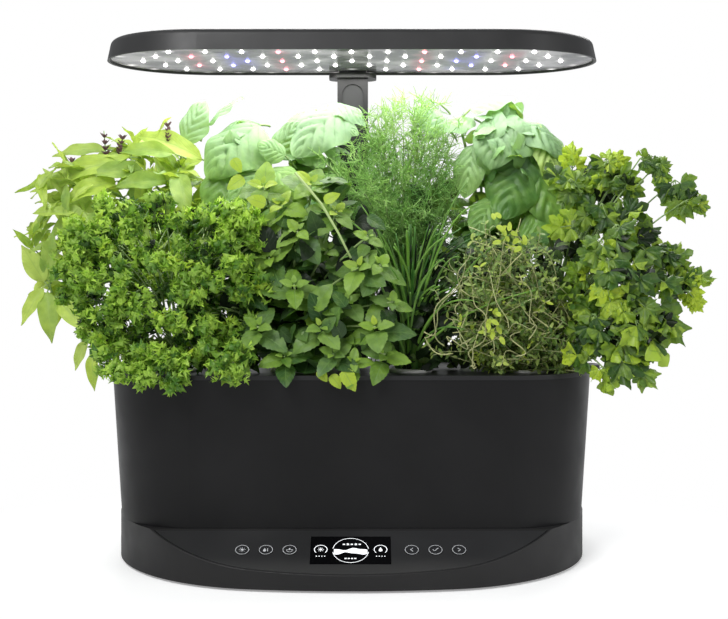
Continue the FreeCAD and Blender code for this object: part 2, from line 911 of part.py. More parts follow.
def make_fill_cover():
    """The flap over the fill port, and the pin that it turns on."""
    top = value("base_top + bowl_height + deck_thickness")
    hinge_x, hinge_z = hinge_axis()
    port_x, port_y = -size("port_x"), -size("port_y")
    lap = 2 * size("port_lap")
    thick = size("cover_thickness")
    length, width = size("port_length") + lap, size("port_width") + lap
    flap = Part.makeBox(length, width, thick, Vector(port_x - length / 2, port_y - width / 2, top))
    grip_wide, grip_reach = size("cover_grip_width"), size("cover_grip_reach")
    grip_start = Vector(
        port_x - length / 2 - grip_reach, port_y - grip_wide / 2, top + size("cover_grip_rise")
    )
    grip = Part.makeBox(grip_reach + size("cover_grip_root"), grip_wide, thick, grip_start)
    knuckle_width = size("port_width") - 2 * size("hinge_ear") - 2 * size("hinge_side_gap")
    start = port_y - knuckle_width / 2
    arm_start = port_x + length / 2 - size("cover_arm_lap")
    arm = Part.makeBox(hinge_x - arm_start, knuckle_width, thick, Vector(arm_start, start, top))
    knuckle = Part.makeCylinder(
        size("knuckle_radius"), knuckle_width, Vector(hinge_x, start, hinge_z), Vector(0, 1, 0)
    )
    bore = Part.makeCylinder(
        size("hinge_pin_radius") + size("hinge_play"),
        knuckle_width + 2 * BACK,
        Vector(hinge_x, start - BACK, hinge_z),
        Vector(0, 1, 0),
    )
    cover = flap.fuse([grip, arm, knuckle]).removeSplitter().cut(bore)
    keep(feature("fill_cover_made", cover), "fill_cover")
    pin_place = Placement(
        Vector(hinge_x, port_y + size("port_width") / 2, hinge_z), Rotation(Vector(1, 0, 0), 90)
    )
    keep(rod("pin", "hinge_pin_radius", "port_width", pin_place), "fill_cover_pin")


def make_pods():
    """Basket, growing sponge and light-proof label of each of the nine pods."""
    top = value("base_top + bowl_height + deck_thickness")
    deep = size("basket_depth")
    wall = size("basket_wall")
    upper, lower = size("basket_top_radius"), size("basket_bottom_radius")
    lip = size("basket_flange")

    def basket(x, y):
        cup = Part.makeCone(lower, upper, deep, Vector(x, y, top - deep))
        rim = Part.makeCylinder(size("basket_flange_radius"), lip, Vector(x, y, top))
        slope = (upper - lower) / deep
        inside = Part.makeCone(
            lower - wall + slope * wall,
            upper - wall + slope * (lip + OVER),
            deep - wall + lip + OVER,
            Vector(x, y, top - deep + wall),
        )
        window = size("basket_window")
        low = top - deep + size("basket_window_sill")
        tall = deep - size("basket_window_sill") - size("basket_window_head")
        across = Part.makeBox(4 * upper, window, tall, Vector(x - 2 * upper, y - window / 2, low))
        along = Part.makeBox(window, 4 * upper, tall, Vector(x - window / 2, y - 2 * upper, low))
        return cup.fuse(rim).cut(inside).cut(across.fuse(along))

    def sponge(x, y):
        gap = wall + size("sponge_gap")
        slope = (upper - lower) / deep
        return Part.makeCone(
            lower - gap + slope * wall,
            upper - gap + slope * lip,
            deep - wall + lip,
            Vector(x, y, top - deep + wall),
        )

    def label(x, y):
        centre = Vector(x, y, top + lip)
        disc = Part.makeCylinder(
            size("basket_flange_radius") - size("label_inset"), size("label_thickness"), centre
        )
        hole = Part.makeCylinder(size("label_hole"), BACK, centre - Vector(0, 0, OVER))
        return disc.cut(hole)

    places = list(pod_places().values())
    group("grow_baskets", basket, places)
    group("grow_sponges", sponge, places)
    group("pod_labels", label, places)


IMPELLER_BLADES = 6


def make_pump():
    """The submersible pump: cover with its inlet, housing, impeller on its magnet, riser tube."""
    y = -size("pump_y")
    floor = value("base_top + bowl_floor")
    cover_bottom = floor + size("pump_foot")
    plate = box(
        "pump_plate", "pump_width", "pump_depth", "pump_cover_thickness", shift(0, y, cover_bottom)
    )
    feet = []
    for side_x in (-1, 1):
        for side_y in (-1, 1):
            x_foot = side_x * (size("pump_width") - size("pump_pad")) / 2
            y_foot = y + side_y * (size("pump_depth") - size("pump_pad")) / 2
            place = shift(x_foot, y_foot, floor)
            feet.append(box("pump_pad_made", "pump_pad", "pump_pad", "pump_foot", place))
    inlet = rod("pump_inlet", "pump_inlet_radius", THROUGH, shift(0, y, floor - OVER))
    keep(cut("cover_made", fuse("cover_solid", plate, *feet), inlet), "pump_cover")
    body_bottom = cover_bottom + size("pump_cover_thickness")
    block = box("pump_block", "pump_width", "pump_depth", "pump_height", shift(0, y, body_bottom))
    chamber_height = "impeller_blade + impeller_gap"
    barb_place = shift(size("outlet_x"), y, body_bottom + size("pump_height") - OVER)
    barb = rod("outlet_barb", "outlet_radius", f"outlet_height + {OVER}", barb_place)
    chamber_place = shift(0, y, body_bottom)
    slot_bottom = body_bottom + size("outlet_slot_rise")
    tools = [
        rod("chamber", "impeller_radius + impeller_gap", chamber_height, chamber_place),
        rod(
            "rotor_can",
            "rotor_radius + rotor_gap",
            "impeller_blade + impeller_gap + rotor_length + rotor_gap",
            chamber_place,
        ),
        rod("outlet_way", "outlet_bore", LONG, shift(size("outlet_x"), y, slot_bottom + OVER)),
        box(
            "outlet_slot",
            "impeller_radius",
            "outlet_slot_width",
            "outlet_slot_height",
            shift(size("outlet_x") - size("impeller_radius") / 2, y, slot_bottom),
        ),
    ]
    shaft_bottom = body_bottom
    shaft_top = body_bottom + value(f"{chamber_height} + rotor_length + rotor_gap + shaft_socket")
    shaft = ("shaft_radius", str(shaft_top - shaft_bottom), shift(0, y, shaft_bottom))
    tools.append(rod("shaft_socket", *shaft))
    keep(cut("housing_made", fuse("housing_solid", block, barb), *tools), "pump_housing")
    keep(rod("shaft", *shaft), "impeller_shaft")

    base_z = body_bottom + size("impeller_gap") / 2
    hub = Part.makeCylinder(
        size("impeller_hub_radius"), size("impeller_blade"), Vector(0, y, base_z)
    )
    rotor = Part.makeCylinder(
        size("rotor_radius"), size("rotor_length"), Vector(0, y, base_z + size("impeller_blade"))
    )
    blades = []
    for step in range(IMPELLER_BLADES):
        root, thick = size("impeller_blade_root"), size("impeller_blade_thickness")
        blade = Part.makeBox(
            size("impeller_radius") - root, thick, size("impeller_blade"), Vector(root, -thick / 2, 0)
        )
        turn = Rotation(Vector(0, 0, 1), 360 * step / IMPELLER_BLADES)
        blade.Placement = Placement(Vector(0, y, base_z), turn)
        blades.append(blade)
    bore_radius = size("shaft_radius") + size("shaft_play")
    bore_length = size("impeller_blade") + size("rotor_length") + 2 * BACK
    bore = Part.makeCylinder(bore_radius, bore_length, Vector(0, y, base_z - BACK))
    impeller = hub.fuse([rotor, *blades]).removeSplitter().cut(bore)
    keep(feature("impeller_made", impeller), "pump_impeller")

    filter_y = y - value("pump_depth / 2 + filter_gap + filter_thickness / 2")
    foam_size = ("pump_width - 2 * filter_margin", "filter_thickness", "pump_height - filter_headroom")
    keep(box("foam", *foam_size, shift(0, filter_y, floor)), "pump_filter")

    riser_bottom = body_bottom + size("pump_height")
    riser_top = value("base_top + bowl_height") - size("riser_top_gap")
    inner = size("outlet_radius") + size("riser_fit")
    start = Vector(size("outlet_x"), y, riser_bottom)
    tube = Part.makeCylinder(inner + size("riser_wall"), riser_top - riser_bottom, start)
    tube = tube.cut(Part.makeCylinder(inner, riser_top - riser_bottom, start))
    keep(feature("riser_made", tube), "riser_tube")


def make_float():
    """The water-level float in its slotted cage."""
    floor = value("base_top + bowl_floor")
    place = shift(-size("float_x"), -size("float_y"), floor)
    cage = rod("cage_tube", "float_radius + float_gap + cage_wall", "cage_height", place)
    inside_place = place.multiply(shift(0, 0, -OVER))
    well_height = f"cage_height - cage_wall + {OVER}"
    tools = [
        rod("cage_well", "float_radius + float_gap", well_height, inside_place),
        rod("cage_mouth", "float_radius - cage_mouth_inset", "2 * cage_height", inside_place),
    ]
    slot_place = place.multiply(shift(0, 0, size("cage_sill")))
    slot_height = "cage_height - cage_sill - cage_head"
    tools.append(box("cage_slot_x", "6 * float_radius", "cage_slot", slot_height, slot_place))
    tools.append(box("cage_slot_y", "cage_slot", "6 * float_radius", slot_height, slot_place))
    keep(cut("cage_made", cage, *tools), "float_cage")
    keep(rod("float_drum", "float_radius", "float_height", place), "level_float")


def mast_y():
    """Where the sliding mast's centre line stands: behind the front wall of the post."""
    front = size("post_y") - size("post_depth") / 2 + size("post_front_wall")
    return front + size("mast_fit") + size("mast_depth") / 2


def make_post():
    """Fixed lower post, the mast that slides in it, and the open channel that slides on the mast."""
    y = size("post_y")
    floor = size("foot_height") + size("floor_thickness")
    tube_height = f"post_lower_top - {floor}"
    tube = box("post_tube", "post_width", "post_depth", tube_height, shift(0, y, floor))
    foot = box(
        "post_foot", "post_foot_width", "post_foot_depth", "post_foot_thickness", shift(0, y, floor)
    )
    well_width, well_depth = "mast_width + 2 * mast_fit", "mast_depth + 2 * mast_fit"
    well_bottom = floor + size("post_foot_thickness")
    well = box("post_well", well_width, well_depth, LONG, shift(0, mast_y(), well_bottom))
    top = size("post_lower_top")
    seat = box(
        "bush_seat",
        f"{well_width} + 2 * bush_wall",
        f"{well_depth} + 2 * bush_wall",
        f"bush_depth + {OVER}",
        shift(0, mast_y(), top - size("bush_depth")),
    )
    keep(cut("post_made", fuse("post_solid", tube, foot), well, seat), "post_lower")

    bush = box(
        "bush_block",
        f"{well_width} + 2 * bush_wall - 2 * bush_fit",
        f"{well_depth} + 2 * bush_wall - 2 * bush_fit",
        "bush_depth",
        shift(0, mast_y(), top - size("bush_depth")),
    )
    way = box(
        "bush_way",
        "mast_width + mast_fit",
        "mast_depth + mast_fit",
        LONG,
        shift(0, mast_y(), well_bottom),
    )
    keep(cut("bush_made", bush, way), "post_bush")

    mast_height = f"mast_top - {well_bottom}"
    mast = box("mast_block", "mast_width", "mast_depth", mast_height, shift(0, mast_y(), well_bottom))
    doc.recompute()
    crown = []
    for number, edge in enumerate(mast.Shape.Edges, start=1):
        is_top = edge.CenterOfMass.z > size("mast_top") - OVER
        runs_back = abs(edge.tangentAt(edge.FirstParameter).y) > 0.9
        if is_top and runs_back:
            radius = size("mast_crown_radius")
            crown.append((number, radius, radius))
    rounded = doc.addObject("Part::Fillet", "mast_rounded")
    rounded.Base = mast
    rounded.Edges = crown
    wire_way = box(
        "wire_way",
        "mast_width - 2 * mast_cheek",
        "mast_wire_bore",
        LONG,
        shift(0, mast_y(), well_bottom - BACK),
    )
    keep(cut("mast_made", rounded, wire_way), "post_mast")

    bottom = top + size("post_rest_gap")
    collar_bottom = size("hood_bottom") - size("collar_thickness")
    channel_height = str(collar_bottom - bottom)
    channel = box("channel_block", "post_width", "post_depth", channel_height, shift(0, y, bottom))
    hollow = box(
        "channel_well", well_width, well_depth, channel_height, shift(0, mast_y(), bottom)
    )
    half = size("channel_opening") / 2
    arch_z = size("mast_top") - half
    mouth = box(
        "channel_mouth",
        "channel_opening",
        "post_depth / 2",
        str(arch_z - bottom + OVER),
        shift(0, y - size("post_depth") / 2, bottom - OVER),
    )
    arch_place = Placement(
        Vector(0, y - size("post_depth") / 4, arch_z), Rotation(Vector(1, 0, 0), 90)
    )
    arch = rod("channel_arch", "channel_opening / 2", "post_depth / 2", arch_place)
    keep(cut("channel_made", channel, hollow, fuse("mouth_tool", mouth, arch)), "post_channel")


LED_ROWS = 2  # rows on each side of the middle row
LED_COLUMNS = 14  # half-pitch columns on each side of the middle
END_FLAT = 0.1  # what the hood's round ends keep straight


def led_places():
    """A staggered grid of lamps over the light board, each with its column's number from the centre."""
    places = []
    margin = size("led_margin")
    reach = size("hood_half_width") - margin
    deep = size("hood_half_depth") - margin
    beside_post = size("collar_width") / 2 + size("led_post_clearance")
    before_post = size("hood_half_depth") - size("led_rear_clearance")
    corner = size("hood_half_depth")
    for line_of in range(-LED_ROWS, LED_ROWS + 1):
        y = line_of * size("led_pitch_y")
        for column in range(-LED_COLUMNS, LED_COLUMNS + 1):
            if (column + line_of) % 2:
                continue
            x = column * size("led_pitch_x") / 2
            past = max(0.0, abs(x) - (size("hood_half_width") - corner))
            if abs(x) > reach or abs(y) > deep or math.hypot(past, y) > corner - margin:
                continue
            if abs(x) < beside_post and y > before_post:
                continue
            places.append((column, x, y))
    return places


def led_colour(column, y):
    """Blue and red lamps stand in their own columns among the white ones."""
    if abs(column) in BLUE_COLUMNS and abs(y) < 1.5 * size("led_pitch_y"):
        return "blue"
    if abs(column) in RED_COLUMNS:
        return "red"
    return "white"


RED_COLUMNS = (4, 9)
BLUE_COLUMNS = (6, 7)
FIN_COUNT = 7


def make_lamp():
    """The hood with its board of lamps and heat sink, and the collar that joins it to the post."""
    radius = f"hood_half_depth - {END_FLAT}"
    hood = rounded_prism(
        "hood_solid",
        "hood_half_width",
        "hood_half_depth",
        radius,
        "hood_bottom",
        "hood_height",
        "-hood_taper",
    )
    top_z = size("hood_bottom") + size("hood_height")
    pad = hood.Tip
    edges = []
    for number, edge in enumerate(pad.Shape.Edges, start=1):
        if abs(edge.BoundBox.ZMin - top_z) < NEAR and abs(edge.BoundBox.ZMax - top_z) < NEAR:
            edges.append(f"Edge{number}")
    round_over = hood.newObject("PartDesign::Fillet", "hood_round")
    round_over.Base = (pad, edges)
    bind(round_over, Radius="hood_edge_radius")
    doc.recompute()
    hollow = rounded_prism(
        "hood_hollow",
        "hood_half_width - hood_wall",
        "hood_half_depth - hood_wall",
        f"{radius} - hood_wall",
        "hood_bottom",
        "hood_height - hood_wall",
        "-hood_taper",
    )
    shell = cut("hood_shell", hood, hollow)
    board_bottom = size("hood_bottom") + size("hood_lip")
    board_top = board_bottom + size("light_board_thickness")
    inner_top = top_z - size("hood_wall")
    posts = []
    reach_x = size("hood_half_width") - size("hood_post_inset")
    post_x, post_y = size("hood_post_x"), size("hood_post_y")
    places = [(-reach_x, 0), (reach_x, 0)]
    places += [(x, y) for x in (-post_x, post_x) for y in (-post_y, post_y)]
    for x, y in places:
        height = inner_top + size("hood_wall") / 4 - board_top
        post = Part.makeCylinder(size("boss_radius"), height, Vector(x, y, board_top))
        posts.append(feature("hood_post", post))
    keep(fuse("hood_made", shell, *posts), "lamp_hood")

    board_inset = "hood_wall + light_board_fit + (hood_lip + light_board_thickness) * tan(hood_taper)"
    board = rounded_prism(
        "light_board_solid",
        f"hood_half_width - ({board_inset})",
        f"hood_half_depth - ({board_inset})",
        f"{radius} - ({board_inset})",
        "hood_bottom + hood_lip",
        "light_board_thickness",
    )
    tools = []
    for side_x in (-1, 1):
        for side_y in (-1, 1):
            place = shift(
                side_x * size("board_slot_x"), side_y * size("board_slot_y"), board_bottom - OVER
            )
            tools.append(box("board_slot", "board_slot_length", "board_slot_width", THROUGH, place))
    plug_y = plug_centre_y()
    tools.append(
        box(
            "plug_hole",
            "collar_plug_width + 2 * collar_plug_fit",
            "collar_plug_depth + 2 * collar_plug_fit",
            THROUGH,
            shift(0, plug_y, board_bottom - OVER),
        )
    )
    keep(cut("light_board_made", board, *tools), "light_board")

    def lamp(x, y):
        side, high = size("led_size"), size("led_height")
        corner = Vector(x - side / 2, y - side / 2, board_bottom - high)
        return Part.makeBox(side, side, high, corner)

    for colour in ("white", "red", "blue"):
        chosen = [(x, y) for column, x, y in led_places() if led_colour(column, y) == colour]
        group("leds_" + colour, lamp, chosen)

    plate = box(
        "sink_plate", "heat_sink_length", "heat_sink_depth", "heat_sink_plate", shift(0, 0, board_top)
    )
    fins = []
    fin_spread = value("heat_sink_depth - heat_sink_fin_thickness")
    for number in range(FIN_COUNT):
        y = (number / (FIN_COUNT - 1) - 0.5) * fin_spread
        fin_z = board_top + size("heat_sink_plate") / 2
        fins.append(
            box(
                "fin",
                "heat_sink_length",
                "heat_sink_fin_thickness",
                "heat_sink_fin + heat_sink_plate / 2",
                shift(0, y, fin_z),
            )
        )
    keep(fuse("sink_made", plate, *fins), "heat_sink")

    flange = rounded_prism(
        "collar_flange",
        "collar_width / 2",
        "collar_depth / 2",
        "collar_corner",
        "hood_bottom - collar_thickness",
        "collar_thickness",
    )
    flange.Placement = shift(0, size("post_y"), 0)
    plug_bottom = size("hood_bottom") - size("collar_plug_overlap")
    plug = box(
        "collar_plug",
        "collar_plug_width",
        "collar_plug_depth",
        "collar_plug_height + collar_plug_overlap",
        shift(0, plug_y, plug_bottom),
    )
    keep(fuse("collar_made", flange, plug), "lamp_collar")


def plug_centre_y():
    """The collar's plug stands just inside the hood's rear wall."""
    wall_inside = size("hood_half_depth") - size("hood_wall")
    return wall_inside - size("collar_plug_gap") - size("collar_plug_depth") / 2


# Each herb's crown is one lobe of leaves or more. Each lobe: its middle (x, y and its height above the
# sponges), its half sizes, its rings and its sides.
HERBS = {
    "curly_parsley": [((-155, -80, 85.5), (88, 46, 82), 8, 14)],
    "mint": [((-21, -66, 95.5), (42, 36, 72), 6, 12), ((-22, -92, 41.5), (42, 28, 44), 5, 10)],
    "thyme": [((126, -68, 59.5), (48, 40, 58), 6, 12)],
    "thai_basil": [
        ((-196, 50, 167.5), (70, 38, 42), 6, 12),
        ((-258, 26, 111.5), (44, 36, 78), 6, 12),
        ((-178, 62, 119.5), (64, 40, 62), 6, 12),
        ((-140, 30, 95.5), (36, 38, 46), 5, 10),
    ],
    "sweet_basil_left": [
        ((-96, 30, 183.5), (28, 34, 40), 5, 10),
        ((-32, 38, 185.5), (34, 34, 48), 6, 12),
        ((-58, 32, 113.5), (42, 36, 74), 6, 12),
        ((-54, 30, 43.5), (46, 38, 40), 5, 10),
    ],
    "dill": [((50, 10, 159.5), (44, 36, 82), 6, 12), ((40, 2, 85.5), (36, 26, 66), 5, 10)],
    "sweet_basil_right": [
        ((138, 32, 187.5), (44, 38, 54), 6, 12),
        ((134, 34, 113.5), (40, 36, 62), 6, 12),
        ((136, 34, 43.5), (44, 38, 40), 5, 10),
    ],
    "italian_parsley": [
        ((238, -30, 85.5), (58, 58, 60), 7, 12),
        ((240, -34, 141.5), (58, 34, 48), 6, 12),
        ((226, -78, 41.5), (48, 34, 46), 6, 12),
        ((216, 18, 139.5), (32, 34, 36), 5, 10),
    ],
}
TUFT = 0.09  # how far the leaves stand in and out of a lobe, as a share of its size
STEM_RADIUS = 4.0
STEM_FLARE = 1.0
STEM_HEIGHT = 10.0
BRANCH_SHARE = 0.7
SHEATH_HEIGHT = 24.0
SHEATH_RADII = (6.0, 4.6)
CHIVE_BLADES = 12
CHIVE_RADIUS = 1.3
CHIVE_LENGTH = 112.0
CHIVE_SHORTER = 2.5  # how much shorter each blade is than the one before
CHIVE_TIP = 0.3
CHIVE_TURN = 150.0
CHIVE_LEANS = (3.0, 1.5)  # the first blade's lean in degrees, and what each next one adds
CHIVE_FEET = (1.2, 2.6)  # the first blade's distance from the middle, and the spread of the rest


def polyhedron(*facets):
    """A solid from its flat facets, each a run of corners."""
    faces = [Part.Face(Part.makePolygon([*corners, corners[0]])) for corners in facets]
    return Part.makeSolid(Part.makeShell(faces))


def tufted_lobe(centre, halves, rings, sides):
    """A closed mass of foliage: an ellipsoid whose points stand in and out in turn, as leaves do."""

    def point(ring, side):
        side %= sides
        tilt = math.pi * ring / rings
        turn = 2 * math.pi * (side + 0.5 * (ring % 2)) / sides
        reach = 1.0 - TUFT * ((ring + side) % 2)
        across = math.sin(tilt) * reach
        away = Vector(across * math.cos(turn), across * math.sin(turn), math.cos(tilt) * reach)
        return centre + Vector(away.x * halves[0], away.y * halves[1], away.z * halves[2])

    top, bottom = point(0, 0), point(rings, 0)
    facets = []
    for side in range(sides):
        after = side + 1
        facets.append((top, point(1, side), point(1, after)))
        facets.append((bottom, point(rings - 1, after), point(rings - 1, side)))
        for ring in range(1, rings - 1):
            # An odd ring stands half a step round from an even one.
            if ring % 2:
                facets.append((point(ring, side), point(ring + 1, after), point(ring, after)))
                facets.append((point(ring, side), point(ring + 1, side), point(ring + 1, after)))
            else:
                facets.append((point(ring, side), point(ring + 1, side), point(ring, after)))
                facets.append((point(ring, after), point(ring + 1, side), point(ring + 1, after)))
    return polyhedron(*facets)


def tapered_bar(start, end, first, last, sides):
    """A straight bar with flat sides, from one radius to another."""
    way = (end - start).normalize()
    across = way.cross(Vector(1, 0.2, 0)).normalize()
    rings = []
    for middle, radius in ((start, first), (end, last)):
        turned = [Rotation(way, 360 * n / sides).multVec(across) for n in range(sides)]
        rings.append([middle + direction * radius for direction in turned])
    low, high = rings
    facets = [tuple(reversed(low)), tuple(high)]
    for n in range(sides):
        after = (n + 1) % sides
        facets.append((low[n], low[after], high[after], high[n]))
    return polyhedron(*facets)


def make_herbs():
    """Each herb: a stem that stands on its sponge, and the mass of its leaves."""
    soil = value("base_top + bowl_height + deck_thickness + basket_flange")
    for name, lobes in HERBS.items():
        x, y = pod_places()[name]
        foot, neck = Vector(x, y, soil), Vector(x, y, soil + STEM_HEIGHT)
        overlap = Vector(0, 0, STEM_RADIUS / 2)
        stem = tapered_bar(foot, neck + overlap, STEM_RADIUS + STEM_FLARE, STEM_RADIUS, 6)
        parts = []
        for (lobe_x, lobe_y, height), halves, rings, sides in lobes:
            middle = Vector(lobe_x, lobe_y, soil + height)
            parts.append(tufted_lobe(middle, halves, rings, sides))
            parts.append(tapered_bar(neck, middle, STEM_RADIUS, STEM_RADIUS * BRANCH_SHARE, 6))
        keep(feature(name + "_made", stem.fuse(parts)), name)
    make_chives(soil)


def make_chives(soil):
    """A clump of straight blades that fan out of one sheath."""
    x, y = pod_places()["chives"]
    root, crown = Vector(x, y, soil), Vector(x, y, soil + SHEATH_HEIGHT)
    sheath = tapered_bar(root, crown, *SHEATH_RADII, 8)
    blades = []
    for number in range(CHIVE_BLADES):
        turn = math.radians(number * CHIVE_TURN)
        lean = math.radians(CHIVE_LEANS[0] + CHIVE_LEANS[1] * number)
        reach = CHIVE_FEET[0] + CHIVE_FEET[1] * number / CHIVE_BLADES
        side = Vector(math.cos(turn), math.sin(turn), 0)
        foot = Vector(x, y, soil + SHEATH_HEIGHT / 2) + side * reach
        way = side * math.sin(lean) + Vector(0, 0, math.cos(lean))
        tip = foot + way * (CHIVE_LENGTH - CHIVE_SHORTER * number)
        blades.append(tapered_bar(foot, tip, CHIVE_RADIUS, CHIVE_RADIUS * CHIVE_TIP, 4))
    keep(feature("chives_made", sheath.fuse(blades)), "chives")


def main():
    make_base_shell()
    make_panel()
    make_base_floor()
    make_inlet()
    make_bowl()
    make_deck()
    make_fill_cover()
    make_pods()
    make_pump()
    make_float()
    make_post()
    make_lamp()
    make_herbs()
    doc.recompute()
    for made in doc.Objects:
        if "Invalid" in made.State or "Error" in made.State:
            raise RuntimeError(f"{made.Label} failed: {made.State}")
    os.makedirs("parts", exist_ok=True)
    for made in kept:
        shape = made.Shape
        if shape.isNull() or not shape.isValid() or not shape.Solids:
            raise RuntimeError(f"{made.Label} has no valid solid")
        print(f"{made.Label:20s} {len(shape.Solids):3d} solids {shape.Volume / 1000:10.2f} cm3")
        shape.exportStep(f"parts/{made.Label}.step")
    print(len(kept), "nodes")


main()
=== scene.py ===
import math

import bpy
import numpy as np
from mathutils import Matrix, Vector


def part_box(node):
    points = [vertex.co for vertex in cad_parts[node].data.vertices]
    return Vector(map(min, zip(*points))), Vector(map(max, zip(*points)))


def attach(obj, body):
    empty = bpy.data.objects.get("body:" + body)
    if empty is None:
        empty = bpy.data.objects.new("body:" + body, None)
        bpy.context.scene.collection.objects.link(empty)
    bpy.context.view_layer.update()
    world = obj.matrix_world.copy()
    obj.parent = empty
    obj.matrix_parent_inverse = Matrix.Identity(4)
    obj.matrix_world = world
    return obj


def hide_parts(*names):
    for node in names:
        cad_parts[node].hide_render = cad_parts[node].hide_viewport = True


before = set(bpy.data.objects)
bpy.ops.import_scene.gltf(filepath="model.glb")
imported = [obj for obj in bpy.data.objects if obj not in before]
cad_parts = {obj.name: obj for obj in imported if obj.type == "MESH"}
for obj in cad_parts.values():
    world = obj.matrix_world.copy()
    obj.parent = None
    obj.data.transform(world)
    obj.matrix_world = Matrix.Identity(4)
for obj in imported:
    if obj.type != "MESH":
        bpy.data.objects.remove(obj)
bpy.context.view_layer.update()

# Lengths are metres. MM turns millimetres into them.
MM = 0.001

# The camera stands level with the foliage and looks straight ahead. Its shift frames the base.
CAMERA_AWAY = 1.175
CAMERA_HEIGHT = 0.28
CAMERA_ASIDE = 0.0107
CAMERA_SHIFT = -0.101
CAMERA_LENS = 65.2

# What the floor adds to its lit white in the picture, and how bright the room round it is.
FLOOR_GLOW = 0.3
ROOM_STRENGTH = 0.36

# Between which distances the floor fades to plain white, and how far it goes on.
FLOOR_FADE = (0.19, 0.34)
FLOOR_REACH = 6.0


# Shader graphs


class Graph:
    """The node tree of a new material or world, with one call per node."""

    def __init__(self, name, kind="Material"):
        owners = bpy.data.materials if kind == "Material" else bpy.data.worlds
        self.owner = owners.new(name)
        self.owner.use_nodes = True
        self.tree = self.owner.node_tree
        self.tree.nodes.clear()
        self.output = self.tree.nodes.new("ShaderNodeOutput" + kind)

    def node(self, kind, inputs=(), **settings):
        made = self.tree.nodes.new("ShaderNode" + kind)
        for name, setting in settings.items():
            setattr(made, name, setting)
        for key, source in dict(inputs).items():
            self.feed(made.inputs[key], source)
        return made

    def feed(self, socket, source):
        if isinstance(source, bpy.types.NodeSocket):
            self.tree.links.new(source, socket)
        elif isinstance(source, tuple) and len(source) == 3 and socket.type == "RGBA":
            socket.default_value = (*source, 1.0)
        else:
            socket.default_value = source

    def place(self):
        return self.node("TexCoord").outputs["Object"]

    def axes(self, vector=None):
        source = self.place() if vector is None else vector
        return self.node("SeparateXYZ", {"Vector": source}).outputs

    def tone_and_painted_light(self):
        return self.node("Attribute", attribute_name="tone_and_painted_light").outputs["Fac"]

    def noise(self, scale, detail=3.0, rough=0.5, place=None):
        inputs = {"Scale": scale, "Detail": detail, "Roughness": rough}
        inputs["Vector"] = place if place is not None else self.place()
        return self.node("TexNoise", inputs).outputs[0]

    def math(self, operation, first, second=0.0, third=0.0):
        made = self.node("Math", operation=operation)
        for socket, source in zip(made.inputs, (first, second, third)):
            self.feed(socket, source)
        return made.outputs[0]

    def span(self, value, low, high, start=0.0, end=1.0, smooth=True):
        inputs = {"Value": value, "From Min": low, "From Max": high, "To Min": start, "To Max": end}
        kind = "SMOOTHSTEP" if smooth else "LINEAR"
        return self.node("MapRange", inputs, interpolation_type=kind).outputs[0]

    def mix(self, factor, first, second):
        made = self.node("Mix", data_type="RGBA")
        for index, source in ((0, factor), (6, first), (7, second)):
            self.feed(made.inputs[index], source)
        return made.outputs[2]

    def shaded(self, pattern, share, colour, low=0.3, high=0.7):
        """A colour that falls to a share of itself where a pattern is low."""
        return self.mix(self.span(pattern, low, high), tuple(c * share for c in colour), colour)

    def blend(self, factor, first, second):
        return self.node("MixShader", {0: factor, 1: first, 2: second}).outputs[0]

    def bump(self, height, strength, distance):
        inputs = {"Height": height, "Strength": strength, "Distance": distance}
        return self.node("Bump", inputs).outputs[0]

    def principled(self, inputs):
        return self.node("BsdfPrincipled", inputs).outputs[0]

    def show(self, shader):
        self.tree.links.new(shader, self.output.inputs["Surface"])
        return self.owner

    def surface(self, inputs):
        return self.show(self.principled(inputs))


# The size of a mould's spark-eroded grain, and how deep a fine relief goes.
GRAIN = 0.7 * MM
FINE = 0.05 * MM


def moulded(name, colour, rough, grain=0.25, shine=0.3, painted_sheen=None):
    """Moulded plastic: a fine spark-eroded grain, faint flow marks and uneven gloss.

    A given painted sheen makes it paler from one y to another, to a level of grey: a painted highlight.
    """
    graph = Graph(name)
    lighter = tuple(min(1.0, c * 1.28 + 0.002) for c in colour)
    shade = graph.mix(graph.span(graph.noise(9.0, 4.0), 0.35, 0.7), colour, lighter)
    if painted_sheen:
        start, end, level = painted_sheen
        toward = graph.span(graph.math("MULTIPLY", graph.axes()[1], -1.0), -start, -end)
        shade = graph.mix(toward, shade, (level, level, level))
    return graph.surface({
        "Base Color": shade,
        "Roughness": graph.span(graph.noise(34.0, 5.0), 0.3, 0.75, rough - 0.05, rough + 0.06),
        "Specular IOR Level": shine,
        "Normal": graph.bump(graph.noise(1.0 / GRAIN, 2.0), grain, FINE),
    })


def painted(name, colour, rough):
    """A sprayed metal with a very fine orange peel."""
    graph = Graph(name)
    return graph.surface({
        "Base Color": graph.shaded(graph.noise(14.0, 4.0), 0.82, colour),
        "Roughness": graph.span(graph.noise(60.0, 4.0), 0.3, 0.7, rough - 0.04, rough + 0.05),
        "Normal": graph.bump(graph.noise(420.0, 2.0), 0.12, FINE),
    })


def steel(name, colour, rough):
    """Bare metal with fine lines drawn along X."""
    graph = Graph(name)
    stretch = graph.node("Mapping", {"Vector": graph.place(), "Scale": (60.0, 2400.0, 2400.0)})
    lines = graph.noise(1.0, 3.0, 0.6, stretch.outputs[0])
    return graph.surface({
        "Base Color": graph.shaded(lines, 0.85, colour),
        "Metallic": 1.0,
        "Roughness": graph.span(lines, 0.3, 0.7, rough - 0.06, rough + 0.06),
        "Normal": graph.bump(lines, 0.1, 0.03 * MM),
    })


def foam(name, colour):
    """Open-cell growing sponge."""
    graph = Graph(name)
    cells = graph.node("TexVoronoi", {"Vector": graph.place(), "Scale": 620.0}).outputs["Distance"]
    return graph.surface({
        "Base Color": graph.shaded(cells, 0.35, colour, 0.1, 0.6),
        "Roughness": 0.95,
        "Normal": graph.bump(cells, 0.8, 0.8 * MM),
    })


